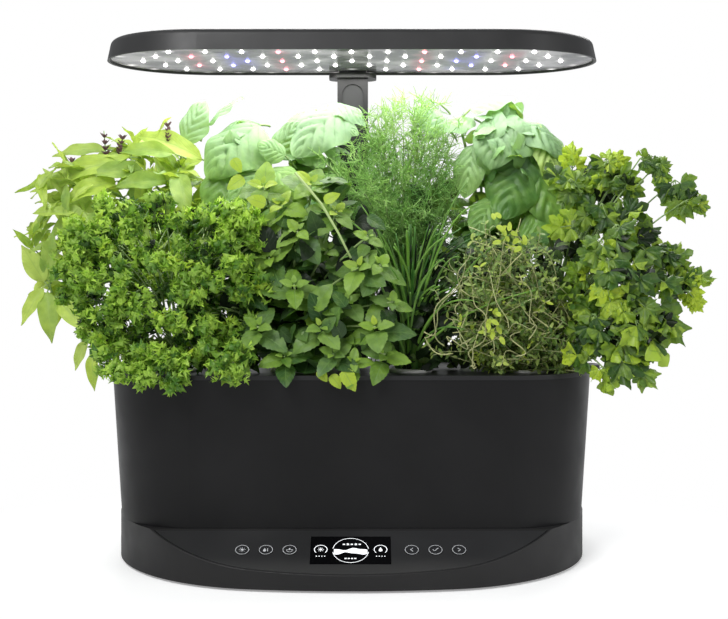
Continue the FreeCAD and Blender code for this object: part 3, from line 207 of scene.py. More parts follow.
def paper(name, colour):
    """Matt paper or ink with fine fibres."""
    graph = Graph(name)
    fibres = graph.noise(900.0, 6.0, 0.7)
    return graph.surface({
        "Base Color": graph.shaded(fibres, 0.92, colour),
        "Roughness": 0.8,
        "Normal": graph.bump(fibres, 0.2, 0.04 * MM),
    })


def circuit_board(name):
    """A green board with its tracks and paler gaps between them."""
    graph = Graph(name)
    tracks = graph.node("TexBrick", {
        "Vector": graph.place(),
        "Scale": 380.0,
        "Brick Width": 0.9,
        "Row Height": 0.3,
        "Color1": (0.02, 0.13, 0.06),
        "Color2": (0.03, 0.17, 0.08),
        "Mortar": (0.10, 0.26, 0.12),
    })
    return graph.surface({
        "Base Color": tracks.outputs["Color"],
        "Roughness": 0.4,
        "Normal": graph.bump(tracks.outputs["Fac"], 0.3, FINE),
    })


def glowing(name, colour, strength):
    """A lit lens: its own soft body and its light."""
    graph = Graph(name)
    return graph.surface({
        "Base Color": graph.shaded(graph.noise(700.0, 2.0), 0.9, (0.9, 0.9, 0.9)),
        "Roughness": 0.25,
        "Emission Color": colour,
        "Emission Strength": strength,
    })


# The lamps' grid, their lenses, the columns of coloured ones, and how far their painted glow colours the
# board.
LED_PITCH = (31 * MM, 29 * MM)
LED_RADIUS = 2.0 * MM
LENS_CROWN = 0.05 * MM
LENS_HEIGHT = 0.8
RED_COLUMNS = (62 * MM, 139.5 * MM)
BLUE_COLUMN = 100 * MM
RED_REACH = 13 * MM
BLUE_REACH = 21 * MM
PAINTED_GLOW_FADE = (44 * MM, 74 * MM)
HALO_RADIUS = 10 * MM


def light_board(name):
    """The bright reflector: pale and glossy, with painted glow: a halo round each lamp of its own colour,
    coloured bands and faint patches.
    """
    graph = Graph(name)
    x, y, _ = graph.axes()
    across, along = LED_PITCH[0] / 2, LED_PITCH[1]

    def ring(shift_x, shift_y):
        dx = graph.math("PINGPONG", graph.math("ADD", x, shift_x), across)
        dy = graph.math("PINGPONG", graph.math("ADD", y, shift_y), along)
        squares = graph.math("MULTIPLY_ADD", dx, dx, graph.math("MULTIPLY", dy, dy))
        return graph.math("SQRT", squares)

    near = graph.math("MINIMUM", ring(0.0, 0.0), ring(across, along))
    uneven = graph.span(graph.noise(52.0, 2.0), 0.35, 0.65, 0.3, 1.2)
    fall = graph.math("POWER", graph.span(near, 0.0, HALO_RADIUS, 1.0, 0.0), 3.0)
    halo = graph.math("MULTIPLY", fall, uneven)
    aside = graph.math("ABSOLUTE", x)

    def band(middle, reach):
        off = graph.math("ABSOLUTE", graph.math("SUBTRACT", aside, middle))
        return graph.span(off, reach * 0.3, reach, 1.0, 0.0)

    reds = graph.math("MAXIMUM", *[band(column, RED_REACH) for column in RED_COLUMNS])
    blues = band(BLUE_COLUMN, BLUE_REACH)
    fade = graph.span(graph.math("ABSOLUTE", y), *PAINTED_GLOW_FADE, 1.0, 0.0)
    tone_and_painted_light = graph.mix(graph.math("MULTIPLY", reds, fade), (1.0, 0.98, 0.96), (1.0, 0.36, 0.42))
    tone_and_painted_light = graph.mix(graph.math("MULTIPLY", blues, fade), tone_and_painted_light, (0.25, 0.25, 1.0))
    patches = graph.span(graph.noise(24.0, 3.0), 0.4, 0.65, 0.0, 0.22)
    cloud = graph.span(graph.noise(30.0), 0.3, 0.7)
    # The base colour is the board's own; the emission is painted glow from the lamps.
    return graph.surface({
        "Base Color": graph.mix(cloud, (0.34, 0.32, 0.37), (0.44, 0.42, 0.46)),
        "Metallic": 0.35,
        "Roughness": 0.16,
        "Emission Color": tone_and_painted_light,
        "Emission Strength": graph.math("MULTIPLY_ADD", halo, 1.1, patches),
        "Normal": graph.bump(graph.noise(80.0, 2.0), 0.05, 0.2 * MM),
    })


# The painted shade of a leaf deep in a plant, and what old, ripe and strongly lit leaves turn to:
# ripe also stands for painted yellow light through lit leaves, and the last is a painted highlight.
DEEP_SHADE = (0.004, 0.009, 0.003)
OLD = (0.30, 0.42, 0.22)
RIPE_AND_LIT = (0.50, 0.64, 0.035)
LAMP_HIGHLIGHT = (0.38, 0.57, 0.40)
LAMP_HIGHLIGHT_HEIGHTS = (0.31, 0.405)


def leaf(name, dark, light, glow, vein, veins, slant, rough, share, pale=0.0, grey=0.25):
    """A living leaf: veins, mottling, a tone of its own with painted shade and highlights, and light that
    shines through it.
    """
    graph = Graph(name)
    across, along, _ = graph.axes(graph.node("UVMap", uv_map="leaf").outputs[0])
    aside = graph.math("ABSOLUTE", graph.math("MULTIPLY_ADD", across, 2.0, -1.0))
    tone_and_painted_light = graph.tone_and_painted_light()
    # Low values paint the leaf down to the deep shade.
    lit = graph.span(tone_and_painted_light, -0.7, 0.05, 0.08, 1.0)
    greyed = graph.math("MULTIPLY", graph.math("FRACT", graph.math("MULTIPLY", tone_and_painted_light, 41.7)), grey)
    midrib = graph.span(aside, 0.02, 0.09, 1.0, 0.0)
    phase = graph.math("MULTIPLY", graph.math("MULTIPLY_ADD", aside, -slant, along), veins)
    rib = graph.span(graph.math("PINGPONG", phase, 0.5), 0.0, 0.13, 1.0, 0.0)
    net = graph.math("MAXIMUM", midrib, graph.math("MULTIPLY", rib, 0.6))
    mottle = graph.span(graph.noise(150.0, 5.0), 0.3, 0.75)
    lightness = graph.math("MULTIPLY_ADD", mottle, 0.35, graph.math("MULTIPLY", tone_and_painted_light, 0.85))
    body = graph.mix(lightness, dark, light)
    body = graph.mix(greyed, body, OLD)
    # High values turn the leaf yellow, for ripe leaves and as painted light through lit leaves.
    body = graph.mix(graph.span(tone_and_painted_light, 1.15, 1.6, 0.0, 0.7), body, RIPE_AND_LIT)
    # A painted highlight: the leaf pales towards the hood, between two heights.
    if pale:
        body = graph.mix(graph.span(graph.axes()[2], *LAMP_HIGHLIGHT_HEIGHTS, 0.0, pale), body, LAMP_HIGHLIGHT)
    colour = graph.mix(graph.math("MULTIPLY", net, 0.25 if pale else 0.55), body, vein)
    height = graph.math("SUBTRACT", graph.math("MULTIPLY", mottle, 0.4), net)
    skin = graph.principled({
        "Base Color": graph.mix(lit, DEEP_SHADE, colour),
        "Roughness": rough,
        "Specular IOR Level": 0.35,
        "Normal": graph.bump(height, 0.4, 0.5 * MM),
    })
    shine = graph.mix(lit, DEEP_SHADE, graph.mix(tone_and_painted_light, glow, light))
    through = graph.node("BsdfTranslucent", {"Color": shine}).outputs[0]
    return graph.show(graph.blend(share, skin, through))


def stalk(name, base, tip):
    """A stem's skin, with long pale streaks."""
    graph = Graph(name)
    streak = graph.span(graph.noise(240.0, 4.0), 0.3, 0.7)
    both = graph.math("MULTIPLY_ADD", streak, 0.5, graph.math("MULTIPLY", graph.tone_and_painted_light(), 0.6))
    return graph.surface({
        "Base Color": graph.mix(both, base, tip),
        "Roughness": 0.5,
        "Normal": graph.bump(streak, 0.3, 0.2 * MM),
    })


# The CAD nodes' finishes


def led_middles(node):
    """Where each lamp of a node stands, read off its mesh."""
    found = {}
    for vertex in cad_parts[node].data.vertices:
        key = (round(vertex.co.x / (LED_PITCH[0] / 2)), round(vertex.co.y / LED_PITCH[1]))
        found.setdefault(key, []).append(vertex.co)
    middles = []
    for corners in found.values():
        low = Vector([min(c[i] for c in corners) for i in range(3)])
        high = Vector([max(c[i] for c in corners) for i in range(3)])
        middles.append(Vector(((low.x + high.x) / 2, (low.y + high.y) / 2, high.z)))
    return middles


def dress_nodes():
    """Gives each CAD node that stays in view its finish."""
    finishes = [
        (moulded("base_plastic", (0.0136, 0.0133, 0.0136), 0.5, grain=0.3),
         "base_shell base_floor power_inlet post_bush"),
        (moulded("bowl_plastic", (0.0066, 0.0066, 0.007), 0.42, grain=0.12, shine=0.2), "water_bowl"),
        (moulded("deck_plastic", (0.014, 0.0142, 0.0148), 0.33, grain=0.12), "grow_deck fill_cover"),
        (moulded("hood_plastic", (0.024, 0.024, 0.0242), 0.4, grain=0.15), "lamp_hood lamp_collar"),
        # The panel is painted paler towards its front edge: a painted sheen.
        (moulded("panel_gloss", (0.021, 0.0212, 0.0222), 0.38, grain=0.1, painted_sheen=(-0.122, -0.139, 0.042)),
         "control_fascia"),
        (moulded("display_glass", (0.0015, 0.0015, 0.002), 0.16, grain=0.0, shine=0.15), "display_lens"),
        (moulded("key_plastic", (0.018, 0.0185, 0.02), 0.38, grain=0.1),
         "key_light key_water key_food key_back key_select key_next"),
        (moulded("pump_plastic", (0.02, 0.02, 0.022), 0.45),
         "pump_housing pump_cover pump_impeller riser_tube float_cage"),
        (moulded("foot_rubber", (0.015, 0.015, 0.015), 0.75, grain=0.5), "rubber_feet"),
        (painted("post_black", (0.010, 0.010, 0.0115), 0.33), "post_lower post_channel"),
        (painted("mast_charcoal", (0.028, 0.029, 0.031), 0.38), "post_mast"),
        (steel("screw_steel", (0.62, 0.62, 0.62), 0.3), "base_screws fill_cover_pin impeller_shaft"),
        (steel("heat_sink_aluminium", (0.72, 0.72, 0.73), 0.35), "heat_sink"),
        (circuit_board("board_parts"), "control_board display_module key_switches"),
        (foam("sponge_foam", (0.07, 0.045, 0.028)), "grow_sponges pump_filter"),
        (paper("label_paper", (0.8, 0.8, 0.77)), "pod_labels"),
        (moulded("basket_plastic", (0.62, 0.62, 0.6), 0.4), "grow_baskets"),
        (moulded("float_plastic", (0.75, 0.16, 0.03), 0.4), "level_float"),
        (light_board("board_bright"), "light_board"),
    ]
    for material, nodes in finishes:
        for node in nodes.split():
            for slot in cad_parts[node].material_slots:
                slot.material = material


# Meshes from arrays


def link_object(name, mesh, material):
    """An object of a mesh, with one material."""
    mesh.materials.append(material)
    made = bpy.data.objects.new(name, mesh)
    bpy.context.collection.objects.link(made)
    return made


def new_object(name, points, faces, material):
    """A mesh object from points and faces of any size."""
    mesh = bpy.data.meshes.new(name)
    mesh.from_pydata([tuple(p) for p in points], [], [tuple(f) for f in faces])
    return link_object(name, mesh, material)


class Sheaf:
    """Leaves and stems gathered into one mesh of four-sided faces, each with a value of its own for its
    tone and painted light.
    """

    def __init__(self):
        self.points, self.faces, self.marks, self.tints = [], [], [], []
        self.count = 0

    def add(self, points, faces, marks, tone_and_painted_light):
        self.points.append(points)
        self.faces.append(faces + self.count)
        self.marks.append(marks)
        self.tints.append(np.full(len(points), tone_and_painted_light))
        self.count += len(points)

    def piece(self, name, material, slot, node=None, body="root"):
        """Makes the mesh, which may replace a CAD node."""
        points = np.concatenate(self.points) * MM
        faces = np.concatenate(self.faces).astype(np.int32)
        marks, tints = np.concatenate(self.marks), np.concatenate(self.tints)
        mesh = bpy.data.meshes.new(name)
        mesh.vertices.add(len(points))
        mesh.vertices.foreach_set("co", points.astype(np.float32).ravel())
        mesh.loops.add(faces.size)
        mesh.loops.foreach_set("vertex_index", faces.ravel())
        mesh.polygons.add(len(faces))
        mesh.polygons.foreach_set("loop_start", np.arange(0, faces.size, 4, dtype=np.int32))
        mesh.polygons.foreach_set("use_smooth", np.ones(len(faces), dtype=bool))
        mesh.update(calc_edges=True)
        layer = mesh.uv_layers.new(name="leaf")
        layer.data.foreach_set("uv", marks[faces.ravel()].astype(np.float32).ravel())
        tone_and_painted_light = mesh.attributes.new("tone_and_painted_light", "FLOAT", "POINT")
        tone_and_painted_light.data.foreach_set("value", tints.astype(np.float32))
        mesh.validate()
        made = link_object(name, mesh, MATERIALS[material])
        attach(made, body)
        if node:
            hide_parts(node)


def grid_faces(rows, columns):
    """The faces of a grid of points, rows by columns cells."""
    start = np.arange(rows)[:, None] * (columns + 1) + np.arange(columns)[None, :]
    start = start.ravel()
    return np.stack([start, start + 1, start + columns + 2, start + columns + 1], axis=1)


def unit(vector):
    """The vector's way, with length 1."""
    vector = np.asarray(vector, dtype=float)
    return vector / max(1e-9, np.linalg.norm(vector))


class Blade:
    """One leaf's blade of length 1, from its stalk along +Y, its upper face up +Z."""

    def __init__(self, points, rows, columns):
        self.points = points.reshape(-1, 3)
        self.faces = grid_faces(rows, columns)
        s, t = np.meshgrid(np.linspace(0, 1, rows + 1), np.linspace(0, 1, columns + 1), indexing="ij")
        self.marks = np.stack([t.ravel(), s.ravel()], axis=1)

    def put(self, sheaf, foot, way, face, length, tone_and_painted_light, wide=1.0):
        """Adds the blade to a sheaf. way points from stalk to tip, and face is where its top looks."""
        way = unit(way)
        side = unit(np.cross(way, face))
        up = np.cross(side, way)
        turned = self.points * (length * wide, length, length)
        placed = turned @ np.stack([side, way, up])
        sheaf.add(placed + np.asarray(foot, dtype=float), self.faces, self.marks, tone_and_painted_light)


def oval(s, start, end):
    """A leaf's half width along it, at most 1: start and end say how blunt its two ends are."""
    peak = start / (start + end)
    top = peak**start * (1 - peak) ** end
    return np.maximum(0.03, np.clip(s, 1e-6, 1) ** start * np.clip(1 - s, 1e-6, 1) ** end / top)


def oval_blade(rows, columns, width, blunt, bend, fold=0.15, dome=0.0, pucker=0.0, veins=6.0,
               slant=0.35, wave=0.0, waves=2.5, tooth=0.0, phase=0.0):
    """A simple leaf. Its length is 1. bend is how far it curves down, in radians, along its length."""
    s = np.linspace(0, 1, rows + 1)[:, None]
    t = np.linspace(-1, 1, columns + 1)[None, :]
    half = width / 2 * oval(s, *blunt)
    notch = 1 + tooth * (np.arange(rows + 1)[:, None] % 2)
    x = t * half * notch
    lift = fold * np.abs(x) - dome * x**2 / width
    ribs = np.abs(np.sin(math.pi * veins * (s - slant * np.abs(t)))) ** 0.7
    lift = lift + pucker * (ribs - 0.5) * (1 - t**4) * np.sin(math.pi * s)
    lift = lift + wave * t**2 * np.sin(2 * math.pi * waves * s + phase + (t > 0) * 1.3)
    turn = bend * s**1.3
    step = 1.0 / rows
    run = np.concatenate([[0.0], np.cumsum(np.cos(turn[:-1, 0]) * step)])[:, None]
    drop = np.concatenate([[0.0], np.cumsum(np.sin(turn[:-1, 0]) * step)])[:, None]
    y = run + lift * np.sin(turn)
    z = -drop + lift * np.cos(turn)
    points = np.stack([x, y + 0 * x, z + 0 * x], axis=2)
    return Blade(points, rows, columns)


def fan_blade(rays, rings, spread, lobes, depth, teeth, tooth, ruffle, waves, droop, phase):
    """A lobed leaflet of length 1 that opens like a fan from its stalk."""
    u = np.linspace(-1, 1, rays + 1)[:, None]
    r = np.linspace(0.05, 1, rings + 1)[None, :]
    angle = u * spread
    crest = np.abs(np.cos(math.pi * lobes / 2 * u)) ** 0.7
    edge = (1 - depth) + depth * crest
    edge = edge * (1 - tooth * np.abs(np.sin(math.pi * teeth * u)) ** 1.5) * (1 - 0.22 * u**2)
    reach = r * (1 + (edge - 1) * r**1.5)
    x = reach * np.sin(angle)
    y = reach * np.cos(angle)
    z = ruffle * r**2 * np.sin(math.pi * waves * u + phase) - droop * r**2
    return Blade(np.stack([x, y, z], axis=2), rays, rings)


# A stem's marks run round it to just under 1.
MARK_TURN = 6.3


def tube(sheaf, path, first, last, tone_and_painted_light, sides=6):
    """A round stem along a path, from one radius to another, closed at both ends."""
    path = np.asarray(path, dtype=float)
    ways = np.gradient(path, axis=0)
    ways /= np.linalg.norm(ways, axis=1)[:, None]
    radii = np.linspace(first, last, len(path))
    side = unit(np.cross(ways[0], (0.31, 0.17, 0.93) if abs(ways[0][2]) < 0.9 else (0.95, 0.3, 0.1)))
    turns = np.arange(sides) / sides * 2 * math.pi
    rings = []
    for point, way, radius in zip(path, ways, radii):
        side = unit(side - way * np.dot(side, way))
        other = np.cross(way, side)
        ring = np.outer(np.cos(turns), side) + np.outer(np.sin(turns), other)
        rings.append(point + ring * radius)
    points = np.concatenate(rings)
    faces = []
    for k in range(len(path) - 1):
        for n in range(sides):
            after = (n + 1) % sides
            low, high = k * sides, (k + 1) * sides
            faces.append((low + n, low + after, high + after, high + n))
    last_ring = (len(path) - 1) * sides
    for n in range(1, sides - 2, 2):
        faces.append((0, n + 2, n + 1, n))
        faces.append((last_ring, last_ring + n, last_ring + n + 1, last_ring + n + 2))
    along = np.repeat(np.linspace(0, 1, len(path)), sides)
    marks = np.stack([np.tile(turns / MARK_TURN, len(path)), along], axis=1)
    sheaf.add(points, np.array(faces), marks, tone_and_painted_light)


def arc(foot, tip, steps, rise, sway=(0, 0, 0)):
    """A stem's line that leaves its foot upwards and leans over to its tip."""
    foot, tip = np.asarray(foot, dtype=float), np.asarray(tip, dtype=float)
    knee = foot + np.array([0, 0, rise * np.linalg.norm(tip - foot)]) + np.asarray(sway, dtype=float)
    return curve(foot, knee, tip, steps)


def curve(foot, knee, tip, steps):
    """The line from foot to tip that leaves and arrives in the direction of the knee."""
    u = np.linspace(0, 1, steps + 1)[:, None]
    return (1 - u) ** 2 * foot + 2 * u * (1 - u) * knee + u**2 * tip


# The herbs. Their places are millimetres in the object's own frame.

# The deck's top, which leaves stay above, the height that the hood leaves free, and the post.
DECK_TOP = 165.0
HOOD_FREE = 424.0
POST_HALF = 17.0
POST_FRONT = 70.0


def pods():
    """The middle of each herb's pod, at the top of its sponge."""
    pitch, front, inner, rear = 100.0, -50.0, 45.0, 42.0
    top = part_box("grow_sponges")[1][2] / MM
    outer = inner + 80.0
    return {
        "curly_parsley": (-1.5 * pitch, front, top),
        "mint": (-0.5 * pitch, front, top),
        "chives": (0.5 * pitch, front, top),
        "thyme": (1.5 * pitch, front, top),
        "thai_basil": (-outer, rear, top),
        "sweet_basil_left": (-inner, rear, top),
        "dill": (inner, rear, top),
        "sweet_basil_right": (outer, rear, top),
        "italian_parsley": (178.0, -2.0, top),
    }


def beside(rng, foot, reach):
    """A stem's foot, a little beside the middle of its pod."""
    return foot + (rng.normal() * reach, rng.normal() * reach, 0)


def crossed(side, other, turn):
    """The two ways of a pair of leaves, which stand opposite each other at a turn from side."""
    for angle in (turn, turn + math.pi):
        yield side * math.cos(angle) + other * math.sin(angle)


def reach_between(start, end, bend):
    """A leaf's foot, its way and its length, where its bent blade reaches from start to end."""
    start, end = np.array(start, dtype=float), np.array(end, dtype=float)
    return start, unit(end - start), np.linalg.norm(end - start) * (1 + bend**2 / 12)


def shoot_leaves(rng, stems, foot, tip, pairs, rise, radii, tints, first, share):
    """Adds a shoot's stem. Yields each leaf's place on it, the stem's way there and the leaf's turn."""
    line = arc(beside(rng, foot, 3), tip, 12, rise)
    tube(stems, line, *radii, rng.uniform(*tints))
    for k in range(pairs):
        at = int((first + share * k / pairs) * 12)
        along = unit(line[at + 1] - line[at])
        turn = rng.uniform(0, math.pi)
        for half in (0, math.pi):
            yield line[at], along, turn + half


def direction(rng, lean_up=0.0):
    """A random direction, with a bias upwards."""
    vector = rng.normal(size=3)
    vector[2] += lean_up
    return unit(vector)


def crown_spots(rng, node, count, sink):
    """Random places just inside a herb's CAD crown, each with the way that the crown faces there."""
    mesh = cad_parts[node].data
    mesh.calc_loop_triangles()
    points = np.array([vertex.co for vertex in mesh.vertices]) / MM
    corners = points[np.array([triangle.vertices for triangle in mesh.loop_triangles])]
    outs = np.cross(corners[:, 1] - corners[:, 0], corners[:, 2] - corners[:, 0])
    areas = np.linalg.norm(outs, axis=1)
    chosen = rng.choice(len(areas), count, p=areas / areas.sum())
    outs = outs[chosen] / areas[chosen][:, None]
    spots = np.einsum("nk,nkj->nj", rng.dirichlet((1, 1, 1), count), corners[chosen])
    return list(zip(spots - outs * rng.uniform(*sink, count)[:, None], outs))


# How deep in a crown its leaves' spots lie, and where on its length a leaf meets its spot.
SPOT_DEPTHS = (2, 12)
SPOT_SHARE = 0.65


def clothe(rng, leaves, kinds, node, count, lengths, tints, lift=0.2):
    """Leaves all over a herb's CAD crown, whose tips stand just proud of it."""
    for spot, out in crown_spots(rng, node, count, SPOT_DEPTHS):
        length = rng.uniform(*lengths)
        way = unit(out * 0.7 + direction(rng) * 0.8 + (0, 0, lift))
        start = spot - way * length * SPOT_SHARE
        if start[2] < DECK_TOP + 2 or not clear_of(spot, 5) or not clear_of(start + way * length, 4):
            continue
        low, high = tints
        # Spots that face up are painted lighter: a painted highlight.
        tone_and_painted_light = low + (high - low) * rng.beta(1.5, 1.7) + 0.15 * out[2]
        face = unit(out + (0, -0.2, 0.6))
        kinds[rng.integers(len(kinds))].put(leaves, start, way, face, length, tone_and_painted_light)


def clear_of(point, radius):
    """True where a leaf at this place keeps off the post and out of the hood."""
    x, y, z = point
    by_post = abs(x) < POST_HALF + radius and y > POST_FRONT - radius
    return not by_post and z < HOOD_FREE - radius


def curly_parsley(foot):
    """A dense mound of frilled sprigs that hangs over the bowl's front rim."""
    rng = np.random.default_rng(11)
    leaves, stems = Sheaf(), Sheaf()
    all_over, deeper, hanging, stalks = 290, 130, 30, 26
    top, left, low = 304, -262, 230
    kinds = [
        fan_blade(10, 2, 2.1, 5, 0.5, 6.5, 0.3, 0.42, 4.5 + k % 3, 0.3, k * 0.9) for k in range(8)
    ]
    sprigs = [(spot, out, 1.0) for spot, out in crown_spots(rng, "curly_parsley", all_over, (-2, 6))]
    sprigs += [(spot, out, 0.1) for spot, out in crown_spots(rng, "curly_parsley", deeper, (12, 26))]
    for _ in range(hanging):
        spot = np.array((rng.uniform(-208, -78), rng.uniform(-118, -108), rng.uniform(160, 190)))
        sprigs.append((spot, np.array((0.0, -0.9, -0.2)), 0.9))
    for spot, way, near in sprigs:
        # The crown's top stays lower than its solid, and its lower left corner is the Thai basil's.
        if spot[2] > top + rng.normal() * 5 or spot[0] < left + spot[2] * 0.08 and spot[2] < low:
            continue
        out = unit(way + (0, -0.15, 0.2))
        radius = rng.uniform(8, 15)
        # Sprigs deep in the crown are painted darker with shade.
        bright = rng.beta(1.5, 1.5) * near - 0.3 * (near < 0.5)
        for _ in range(15 if near > 0.5 else 7):
            ray = unit(out + direction(rng) * 0.95)
            at = spot + ray * radius * rng.uniform(0.4, 0.9)
            if at[2] < DECK_TOP + 4 and at[1] > -106:
                continue
            grow = unit(ray * 0.5 + direction(rng) * 0.8 + (0, 0, 0.3))
            # Leaflets that face up get a painted highlight.
            tone_and_painted_light = bright - 0.08 + rng.normal() * 0.3 + 0.4 * max(0.0, ray[2])
            size = rng.uniform(4.6, 9.0)
            face = unit(ray + direction(rng) * 0.8)
            kinds[rng.integers(8)].put(leaves, at, grow, face, size, tone_and_painted_light, rng.uniform(0.85, 1.15))
        base = spot - out * radius * 1.6
        tube(stems, arc(base, spot + out * radius * 0.5, 3, 0.1), 0.8, 0.45, rng.random(), 4)
    for _ in range(stalks):
        way = direction(rng, 0.6)
        tip = np.array((-156, -80, 236)) + way * (60, 32, 50)
        tube(stems, arc(beside(rng, foot, 5), tip, 7, 0.5), 1.1, 0.6, rng.random())
    leaves.piece("parsley_frills", "curly", "parsley_leaf", "curly_parsley")
    stems.piece("parsley_stalks", "stalk", "parsley_leaf")


def long_leaf(rng, width=0.3, bend=None):
    """A Thai basil leaf: narrow, pointed, folded along its midrib."""
    bend = rng.uniform(0.3, 1.1) if bend is None else bend
    return oval_blade(14, 6, width, (0.75, 1.15), bend, fold=0.3, dome=-0.3, pucker=0.016, veins=7,
                      wave=0.03, phase=rng.uniform(0, 6))


def thai_basil(foot):
    """Arching shoots of pointed leaves, with purple flower spikes."""
    rng = np.random.default_rng(23)
    leaves, stems, flowers = Sheaf(), Sheaf(), Sheaf()
    camera_side = np.array((0.0, -1.0, 0.45))
    # Each leaf in view: its foot, its tip, its width in millimetres, its tone and painted light, and its
    # bend.
    shown = [
        ((-252, 38, 340), (-306, 28, 314), 13, 0.05, 0.3),
        ((-248, 34, 333), (-290, 22, 314), 13, 0.9, 0.4),
        ((-203, 30, 352), (-276, 10, 290), 24, 0.75, 0.9),
        ((-257, 36, 326), (-289, 20, 268), 17, 0.95, 0.6),
        ((-227, 42, 360), (-270, 30, 340), 15, 0.55, 0.8),
        ((-137, 26, 350), (-205, 20, 350), 25, 0.85, 1.1),
        ((-160, 14, 354), (-207, 4, 340), 19, 0.25, 0.9),
        ((-289, 22, 268), (-307, 14, 285), 9, 0.05, 0.2),
        ((-276, 8, 239), (-297, 0, 270), 23, 0.9, 0.3),
        ((-272, 8, 240), (-268, 0, 285), 20, 0.3, 0.3),
        ((-277, 8, 234), (-291, -4, 200), 16, 0.8, 0.5),
        ((-273, 6, 230), (-268, -8, 186), 22, 0.3, 0.5),
        ((-264, 4, 224), (-240, -14, 190), 21, 0.8, 0.6),
        ((-225, -58, 192), (-231, -66, 167), 12, 0.95, 0.5),
        ((-213, -92, 184), (-210, -101, 154), 13, 0.6, 0.4),
        ((-203, 44, 362), (-188, 40, 379), 9, 0.6, 0.5),
        ((-190, 30, 338), (-232, 8, 322), 22, 0.35, 0.8),
        ((-168, 20, 330), (-205, 0, 312), 22, 0.2, 0.8),
        ((-158, 18, 338), (-150, -2, 296), 24, 0.35, 0.7),
        ((-215, 26, 330), (-248, 0, 296), 22, 0.6, 0.9),
        ((-238, 30, 316), (-262, 6, 272), 20, 0.5, 0.7),
        ((-220, 18, 300), (-250, -6, 262), 20, 0.3, 0.7),
    ]
    for start, end, width, tone_and_painted_light, bend in shown:
        start, way, length = reach_between(start, end, bend)
        way = way + (0, 0, 0.5 * bend)
        blade = long_leaf(rng, 0.82 * width / length, bend)
        blade.put(leaves, start, way, camera_side, length, tone_and_painted_light)
        tube(stems, arc(start - unit(way) * 8 + (2, 4, -3), start, 3, 0.1), 0.8, 0.6, 0.5, 4)
    for end in ((-225, -58, 192), (-213, -92, 184)):
        tube(stems, arc((-196, -20, 214), end, 8, 0.3), 0.9, 0.7, 0.5, 4)
    shoots = [
        ((-205, 40, 352), 7), ((-160, 34, 350), 6), ((-250, 40, 334), 6), ((-225, 52, 356), 6),
        ((-275, 10, 240), 5), ((-238, 26, 262), 5), ((-185, 66, 366), 6), ((-262, 60, 300), 5),
        ((-150, 70, 320), 5), ((-215, 84, 320), 6), ((-245, 78, 270), 5), ((-180, 88, 280), 5),
    ]
    for tip, pairs in shoots:
        places = shoot_leaves(rng, stems, foot, tip, pairs, 0.55, (1.9, 0.9), (0.2, 0.8), 0.42, 0.55)
        for point, along, turn in places:
            way = unit(np.array((math.cos(turn), math.sin(turn), 0.25)) + along * 0.3)
            if not clear_of(point + way * 50, 4):
                continue
            blade = long_leaf(rng)
            blade.put(leaves, point, way, (0, -0.3, 1), rng.uniform(34, 58), rng.beta(1.5, 1.8))
    kinds = [long_leaf(rng, rng.uniform(0.24, 0.36)) for _ in range(12)]
    clothe(rng, leaves, kinds, "thai_basil", 300, (26, 48), (0.0, 1.1), lift=-0.1)
    spikes = [((-226, 34, 346), (-227, 30, 376), 9), ((-256, 32, 336), (-256, 28, 350), 5),
              ((-168, 30, 362), (-169, 28, 384), 6), ((-214, 36, 352), (-209, 32, 372), 6)]
    for start, end, whorls in spikes:
        line = arc(start, end, 6, 0.3)
        tube(stems, line, 0.8, 0.5, 0.1)
        for k in range(whorls):
            point = line[1 + (k * 5) // whorls]
            for turn in np.arange(5) / 5 * 2 * math.pi + rng.uniform(0, 2):
                way = np.array((math.cos(turn), math.sin(turn), 0.9))
                bract = oval_blade(4, 2, 0.55, (0.5, 0.7), -0.5, fold=0.4)
                bract.put(flowers, point, way, (0, 0, 1), rng.uniform(4.5, 7.5), rng.random())
    leaves.piece("thai_basil_leaves", "thai", "thai_basil_leaf", "thai_basil")
    stems.piece("thai_basil_stems", "stalk", "thai_basil_leaf")
    flowers.piece("thai_basil_flowers", "flower", "thai_basil_leaf")


def round_leaf(rng, width, bend, fine=True):
    """A sweet basil leaf: broad and domed, blistered between its veins."""
    rows, columns = (30, 18) if fine else (12, 8)
    return oval_blade(rows, columns, width, (0.5, 0.72), bend, fold=0.02, dome=0.62, pucker=0.075,
                      veins=5.0, slant=0.42, wave=0.035, waves=2.0, phase=rng.uniform(0, 6))


def understory(rng, leaves, kinds, low, high, count, sizes, tints=(-0.7, 0.15)):
    """Leaves in the depth of a plant, between two corners, painted darker with shade."""
    for _ in range(count):
        spot = rng.uniform(low, high)
        way = unit(direction(rng) * (1, 0.6, 0.8) + (0, -0.2, 0.0))
        size = rng.uniform(*sizes)
        tip = spot + way * size
        if not clear_of(tip, 4) or not clear_of(spot, 6) or tip[2] < DECK_TOP + 1:
            continue
        face = unit(direction(rng) * 0.6 + (0, -0.8, 0.6))
        kinds[rng.integers(len(kinds))].put(leaves, spot, way, face, size, rng.uniform(*tints))


